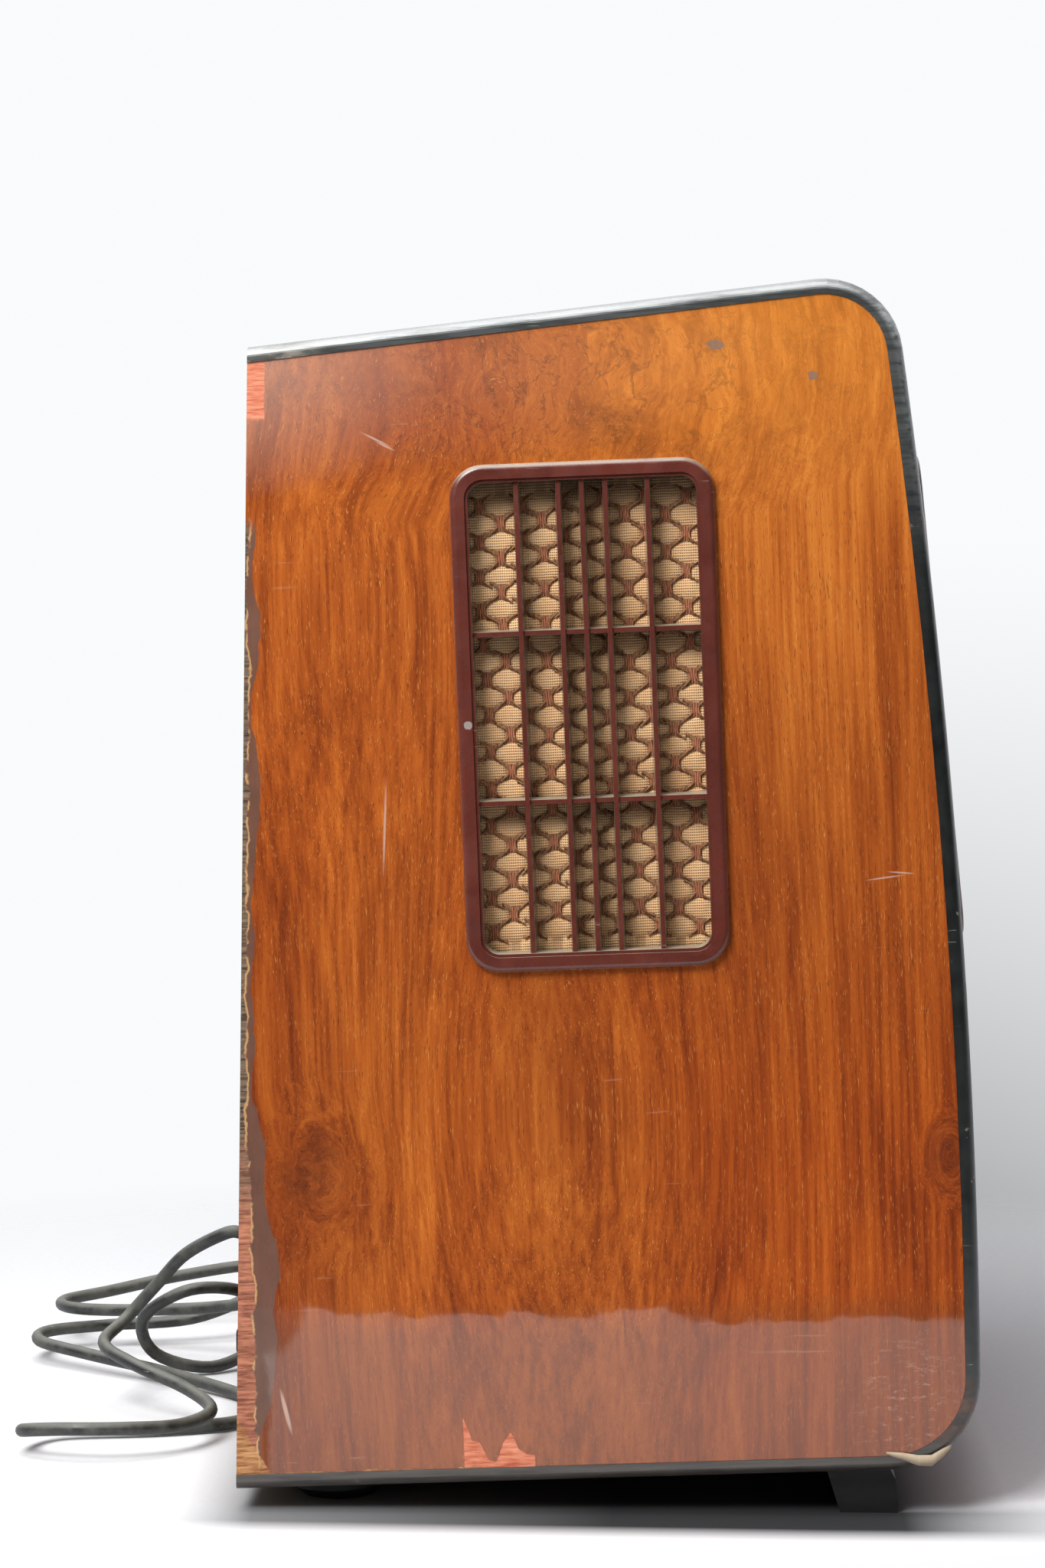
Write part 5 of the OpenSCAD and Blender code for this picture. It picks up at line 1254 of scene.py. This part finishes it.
ribbon, folds = [], []
for k in range(4):
    x = (k - 1.5) * TIE_W / 4
    ribbon.append(tube([Vector((x * 1.2, -TIE_H / 2, 0.0001)), Vector((x * 0.8, 0, 0.0006)),
                        Vector((x * 1.2, TIE_H / 2, 0.0001))], 0.00058, 4))
for side in (-1, 1):
    for end in (-1, 1):
        for strand in range(3):
            off = (strand - 1) * 0.0008
            lift = 0.0012 - 0.0004 * strand
            folds.append(tube([Vector((side * 0.0010, end * (0.0019 + off), lift * 0.5)),
                               Vector((side * 0.0028, end * (0.0034 + off * 0.8), lift)),
                               Vector((side * 0.0056, end * (0.0043 - off * 0.7), lift * 0.8))], 0.00050, 3))
tie_source = small_mesh("tie_source", ribbon, tie_red)
fold_source = small_mesh("fold_source", folds, fold_tan)
print("one tie has", len(tie_source.data.polygons), "faces and its folds", len(fold_source.data.polygons))

# %% [markdown]
# Geometry Nodes set one small mesh on every point and turn and size it a little at random, from a fixed
# seed. The tree ends in real geometry, and its result is baked to a plain mesh, because an export would
# lose the instances. The points lie flat, and the baked mesh is then carried onto the cloth.

# %% geometry nodes that set a mesh on points
TREE_INPUTS = (("Geometry", "Geometry"), ("Piece", "Object"), ("Turn", "Float"), ("Uneven", "Float"),
               ("Seed", "Int"), ("Material", "Material"))
TREE_NODES = {
    "entry": "NodeGroupInput", "leave": "NodeGroupOutput", "info": "GeometryNodeObjectInfo",
    "spread": "GeometryNodeInstanceOnPoints", "turned": "FunctionNodeRandomValue",
    "sized": "FunctionNodeRandomValue", "upright": "ShaderNodeCombineXYZ", "left_turn": "ShaderNodeMath",
    "largest": "ShaderNodeMath", "smallest": "ShaderNodeMath", "realize": "GeometryNodeRealizeInstances",
    "painted": "GeometryNodeSetMaterial",
}
# Sums: a node, its operation, and the input that is a fixed number
TREE_SUMS = (("left_turn", "MULTIPLY", 1, -1.0), ("largest", "ADD", 0, 1.0), ("smallest", "SUBTRACT", 0, 1.0))
# Wires: from a node and its output to a node and its input
TREE_WIRES = (
    ("entry", "Piece", "info", "Object"), ("entry", "Geometry", "spread", "Points"),
    ("info", "Geometry", "spread", "Instance"),
    ("entry", "Turn", "left_turn", 0), ("left_turn", 0, "turned", 2), ("entry", "Turn", "turned", 3),
    ("entry", "Uneven", "smallest", 1), ("smallest", 0, "sized", 2),
    ("entry", "Uneven", "largest", 1), ("largest", 0, "sized", 3),
    ("entry", "Seed", "turned", "Seed"), ("entry", "Seed", "sized", "Seed"),
    ("turned", 1, "upright", "Z"), ("upright", 0, "spread", "Rotation"), ("sized", 1, "spread", "Scale"),
    ("spread", 0, "realize", 0), ("realize", 0, "painted", "Geometry"),
    ("entry", "Material", "painted", "Material"), ("painted", 0, "leave", 0),
)


def on_points_tree(name):
    """Sets the chosen object on every point, a little turned and sized at random."""
    group = bpy.data.node_groups.new(name, "GeometryNodeTree")
    for label, kind in TREE_INPUTS:
        group.interface.new_socket(name=label, in_out="INPUT", socket_type="NodeSocket" + kind)
    group.interface.new_socket(name="Geometry", in_out="OUTPUT", socket_type="NodeSocketGeometry")
    made = {label: group.nodes.new(kind) for label, kind in TREE_NODES.items()}
    for label, operation, number, value in TREE_SUMS:
        made[label].operation = operation
        made[label].inputs[number].default_value = value
    for source, out, target, into in TREE_WIRES:
        group.links.new(made[source].outputs[out], made[target].inputs[into])
    return group


def set_pieces(name, places, source, turn, uneven, seed, to_world):
    """Runs the tree on flat points in a local frame, bakes it, and carries the result to its place."""
    mesh = bpy.data.meshes.new(name + "_points")
    mesh.from_pydata([(s, t, 0) for s, t in places], [], [])
    obj = link(bpy.data.objects.new(name + "_points", mesh))
    modifier = obj.modifiers.new("set", "NODES")
    modifier.node_group = set_on_points
    sockets = set_on_points.interface.items_tree
    ids = {item.name: item.identifier for item in sockets if item.in_out == "INPUT"}
    for label, value in (("Piece", source), ("Turn", turn), ("Uneven", uneven), ("Seed", seed),
                         ("Material", source.data.materials[0])):
        modifier[ids[label]] = value
    baked = bpy.data.meshes.new_from_object(obj.evaluated_get(bpy.context.evaluated_depsgraph_get()))
    bpy.data.objects.remove(obj)
    for vertex in baked.vertices:
        vertex.co = to_world(*vertex.co)
    baked.name = name
    baked.shade_smooth()
    return link(bpy.data.objects.new(name, baked))


set_on_points = on_points_tree("set_on_points")
print("the tree has", len(set_on_points.nodes), "nodes")

# %% [markdown]
# The side cloths are flat and the front cloth stands in the tilted middle of the bowed front. Each has a
# function that takes a place in the cloth's own frame to the scene. The sheet, its ties and its folds
# ride on the cabinet together and take the place of the flat cloth of the solids.

# %% frames of the cloths
# Millimetres on the cabinet
CLOTH_MIDDLE_Z, SIDE_MIDDLE_Y = 342.5, -172
SIDE_CLOTH_X = 203.0 - 0.65
FRONT_RADIUS, BOW_Z, CABINET_DEPTH = 3700, 110, 336
FRONT_CLOTH_DEPTH = 9.026 + 0.6
FRONT_TILT = math.asin((CLOTH_MIDDLE_Z - BOW_Z) / FRONT_RADIUS)
FRONT_Y = FRONT_RADIUS - CABINET_DEPTH - math.sqrt(FRONT_RADIUS ** 2 - (CLOTH_MIDDLE_Z - BOW_Z) ** 2)


def stand(x, y, z):
    """From the cabinet's own millimetres to metres in the scene."""
    y, z = y / 1000, z / 1000
    back = REAR + y * math.cos(LEAN) + z * math.sin(LEAN)
    return Vector((x / 1000, back, REAR_LIFT - y * math.sin(LEAN) + z * math.cos(LEAN)))


def on_side(sign):
    """The frame of a side cloth: s runs forwards, t up, out away from the cabinet."""
    return lambda s, t, out: stand(sign * (SIDE_CLOTH_X + 1000 * out), SIDE_MIDDLE_Y - 1000 * s,
                                   CLOTH_MIDDLE_Z + 1000 * t)


def on_front(s, t, out):
    """The frame of the front cloth: s runs to the right, t up, out towards the listener."""
    depth = FRONT_CLOTH_DEPTH - 1000 * out
    y = depth * math.cos(FRONT_TILT) + 1000 * t * math.sin(FRONT_TILT)
    z = 1000 * t * math.cos(FRONT_TILT) - depth * math.sin(FRONT_TILT)
    return stand(1000 * s, FRONT_Y + y, CLOTH_MIDDLE_Z + z)


print("the front cloth is tilted by", round(math.degrees(FRONT_TILT), 2), "degrees")


# %% cloths in place
TIE_TURN, TIE_UNEVEN, TIE_SEED = 0.10, 0.08, 7


def dress_opening(name, replaced, to_world, opening, full, step):
    """One cloth with its ties and folds."""
    sheet = cloth_sheet(name, to_world, opening, full, step)
    sheet.data.materials.append(weave)
    places = tie_points(*opening)
    ties, gathers = (set_pieces(name + ending, places, source, TIE_TURN, TIE_UNEVEN, TIE_SEED, to_world)
                     for ending, source in (("_ties", tie_source), ("_folds", fold_source)))
    for piece in (sheet, ties, gathers):
        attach(piece, "cabinet")
    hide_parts(replaced)


for side, sign in (("left", -1), ("right", 1)):
    dress_opening("grille_cloth_" + side, "side_cloth_" + side, on_side(sign), SIDE_OPENING, SIDE_FULL,
                  0.001)
dress_opening("grille_cloth_front", "front_cloth", on_front, FRONT_OPENING, FRONT_FULL, 0.0012)

# %% [markdown]
# ## Scale of the dial
# Behind the glass stands a painted plate with three rows of plain numbers and short lines. Numbers are
# text that is made a mesh before it goes to its place. The lines are one small bar that Geometry Nodes
# sets on a row of points, with the same tree as the ties of the cloth.

# %% numbers and lines
DIAL_Y, DIAL_Z = -310.628, 156
ROW_START, ROW_LENGTH = -0.088, 0.176
LINES_IN_ROW, LINE_SEED = 49, 3
NUMBER_HEIGHT, NUMBER_LIFT = 0.0080, 0.0035
ROWS = ((0.030, (2000, 1800, 1600, 1400, 1200, 1000, 800)), (0.004, (550, 500, 450, 400, 350, 300, 250, 200)),
        (-0.022, (50, 45, 40, 35, 30, 25, 20)))


def on_dial(s, t, out):
    """The frame of the dial plate: s runs to the right, t up from the middle of the window."""
    return stand(1000 * s, DIAL_Y - 1000 * out, DIAL_Z + 1000 * t)


def along_row(k, count):
    """How far to the right the k-th of evenly spaced marks stands."""
    return ROW_START + ROW_LENGTH * k / (count - 1)


def number_mesh(text, height):
    """A number as a mesh, with its middle at the origin."""
    data = bpy.data.curves.new("number", "FONT")
    data.body, data.size, data.align_x, data.extrude = text, height, "CENTER", 0.00005
    return bpy.data.meshes.new_from_object(bpy.data.objects.new("number", data))


def joined_mesh(name, meshes, finish):
    """All numbers as one mesh on the dial plate."""
    verts, faces = [], []
    for mesh, move in meshes:
        base = len(verts)
        verts.extend(on_dial(v.co.x + move[0], v.co.y + move[1], v.co.z + 0.0001) for v in mesh.vertices)
        faces.extend([base + n for n in face.vertices] for face in mesh.polygons)
    made = bpy.data.meshes.new(name)
    made.from_pydata(verts, [], faces)
    made.materials.append(finish)
    return link(bpy.data.objects.new(name, made))


numbers = [(number_mesh(str(label), NUMBER_HEIGHT), (along_row(k, len(labels)), height + NUMBER_LIFT))
           for height, labels in ROWS for k, label in enumerate(labels)]
scale_numbers = joined_mesh("dial_numbers", numbers, finishes["dial_print"])
bar = bpy.data.meshes.new("scale_bar")
bar.from_pydata([(x, y, z) for x in (-0.0003, 0.0003) for y in (-0.0052, 0) for z in (0, 0.0001)], [],
                [(0, 1, 3, 2), (4, 6, 7, 5), (0, 4, 5, 1), (2, 3, 7, 6), (0, 2, 6, 4), (1, 5, 7, 3)])
bar.materials.append(finishes["dial_print"])
bar_source = bpy.data.objects.new("bar_source", bar)
ticks = [(along_row(k, LINES_IN_ROW), height) for height, labels in ROWS for k in range(LINES_IN_ROW)]
scale_lines = set_pieces("dial_lines", ticks, bar_source, 0.0, 0.12, LINE_SEED, on_dial)
for piece in (scale_numbers, scale_lines):
    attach(piece, "cabinet")
print(len(numbers), "numbers and", len(ticks), "lines on the dial")

# %% [markdown]
# ## A loose flake
# Low at the front corner a flake of veneer has come away and stands off the side a little, with its pale
# inner face showing. It is a narrow strip of mesh with a slightly uneven width, given its thickness by a
# Solidify modifier.

# %% flake
FLAKE_WALL = -215.2
FLAKE_THICKNESS = 0.0005
# Along the cabinet, height, half width and distance from the side, in millimetres
flake_line = [(-292, 8.5, 0.6, 0.3), (-299, 7.0, 1.6, 0.8), (-306, 5.0, 2.4, 1.4), (-312, 4.8, 2.5, 1.6),
              (-317, 8.0, 1.9, 1.0), (-321, 10.8, 0.7, 0.4)]
flake_verts = []
for y, z, half, lift in flake_line:
    for out, rise in ((0.6, -half), (1.0, 0.2 * half), (0.8, half)):
        flake_verts.append(stand(FLAKE_WALL - lift * out, y, z + rise))
flake_faces = [(3 * k + i, 3 * k + 3 + i, 3 * k + 4 + i, 3 * k + 1 + i)
               for k in range(len(flake_line) - 1) for i in (0, 1)]
flake_mesh = bpy.data.meshes.new("loose_flake")
flake_mesh.from_pydata(flake_verts, [], flake_faces)
flake_mesh.materials.append(bare_wood("pale_flake", srgb(160, 138, 112), srgb(204, 186, 160), 1.5))
flake_mesh.shade_smooth()
flake = link(bpy.data.objects.new("loose_flake", flake_mesh))
thick = flake.modifiers.new("thickness", "SOLIDIFY")
thick.thickness = FLAKE_THICKNESS
thick.offset = 0.0
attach(flake, "cabinet")
print("flake of", len(flake_faces), "faces")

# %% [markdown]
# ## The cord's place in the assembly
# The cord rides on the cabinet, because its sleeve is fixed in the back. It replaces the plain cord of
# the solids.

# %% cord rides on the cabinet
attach(cord, "cabinet")
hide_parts("mains_cord")
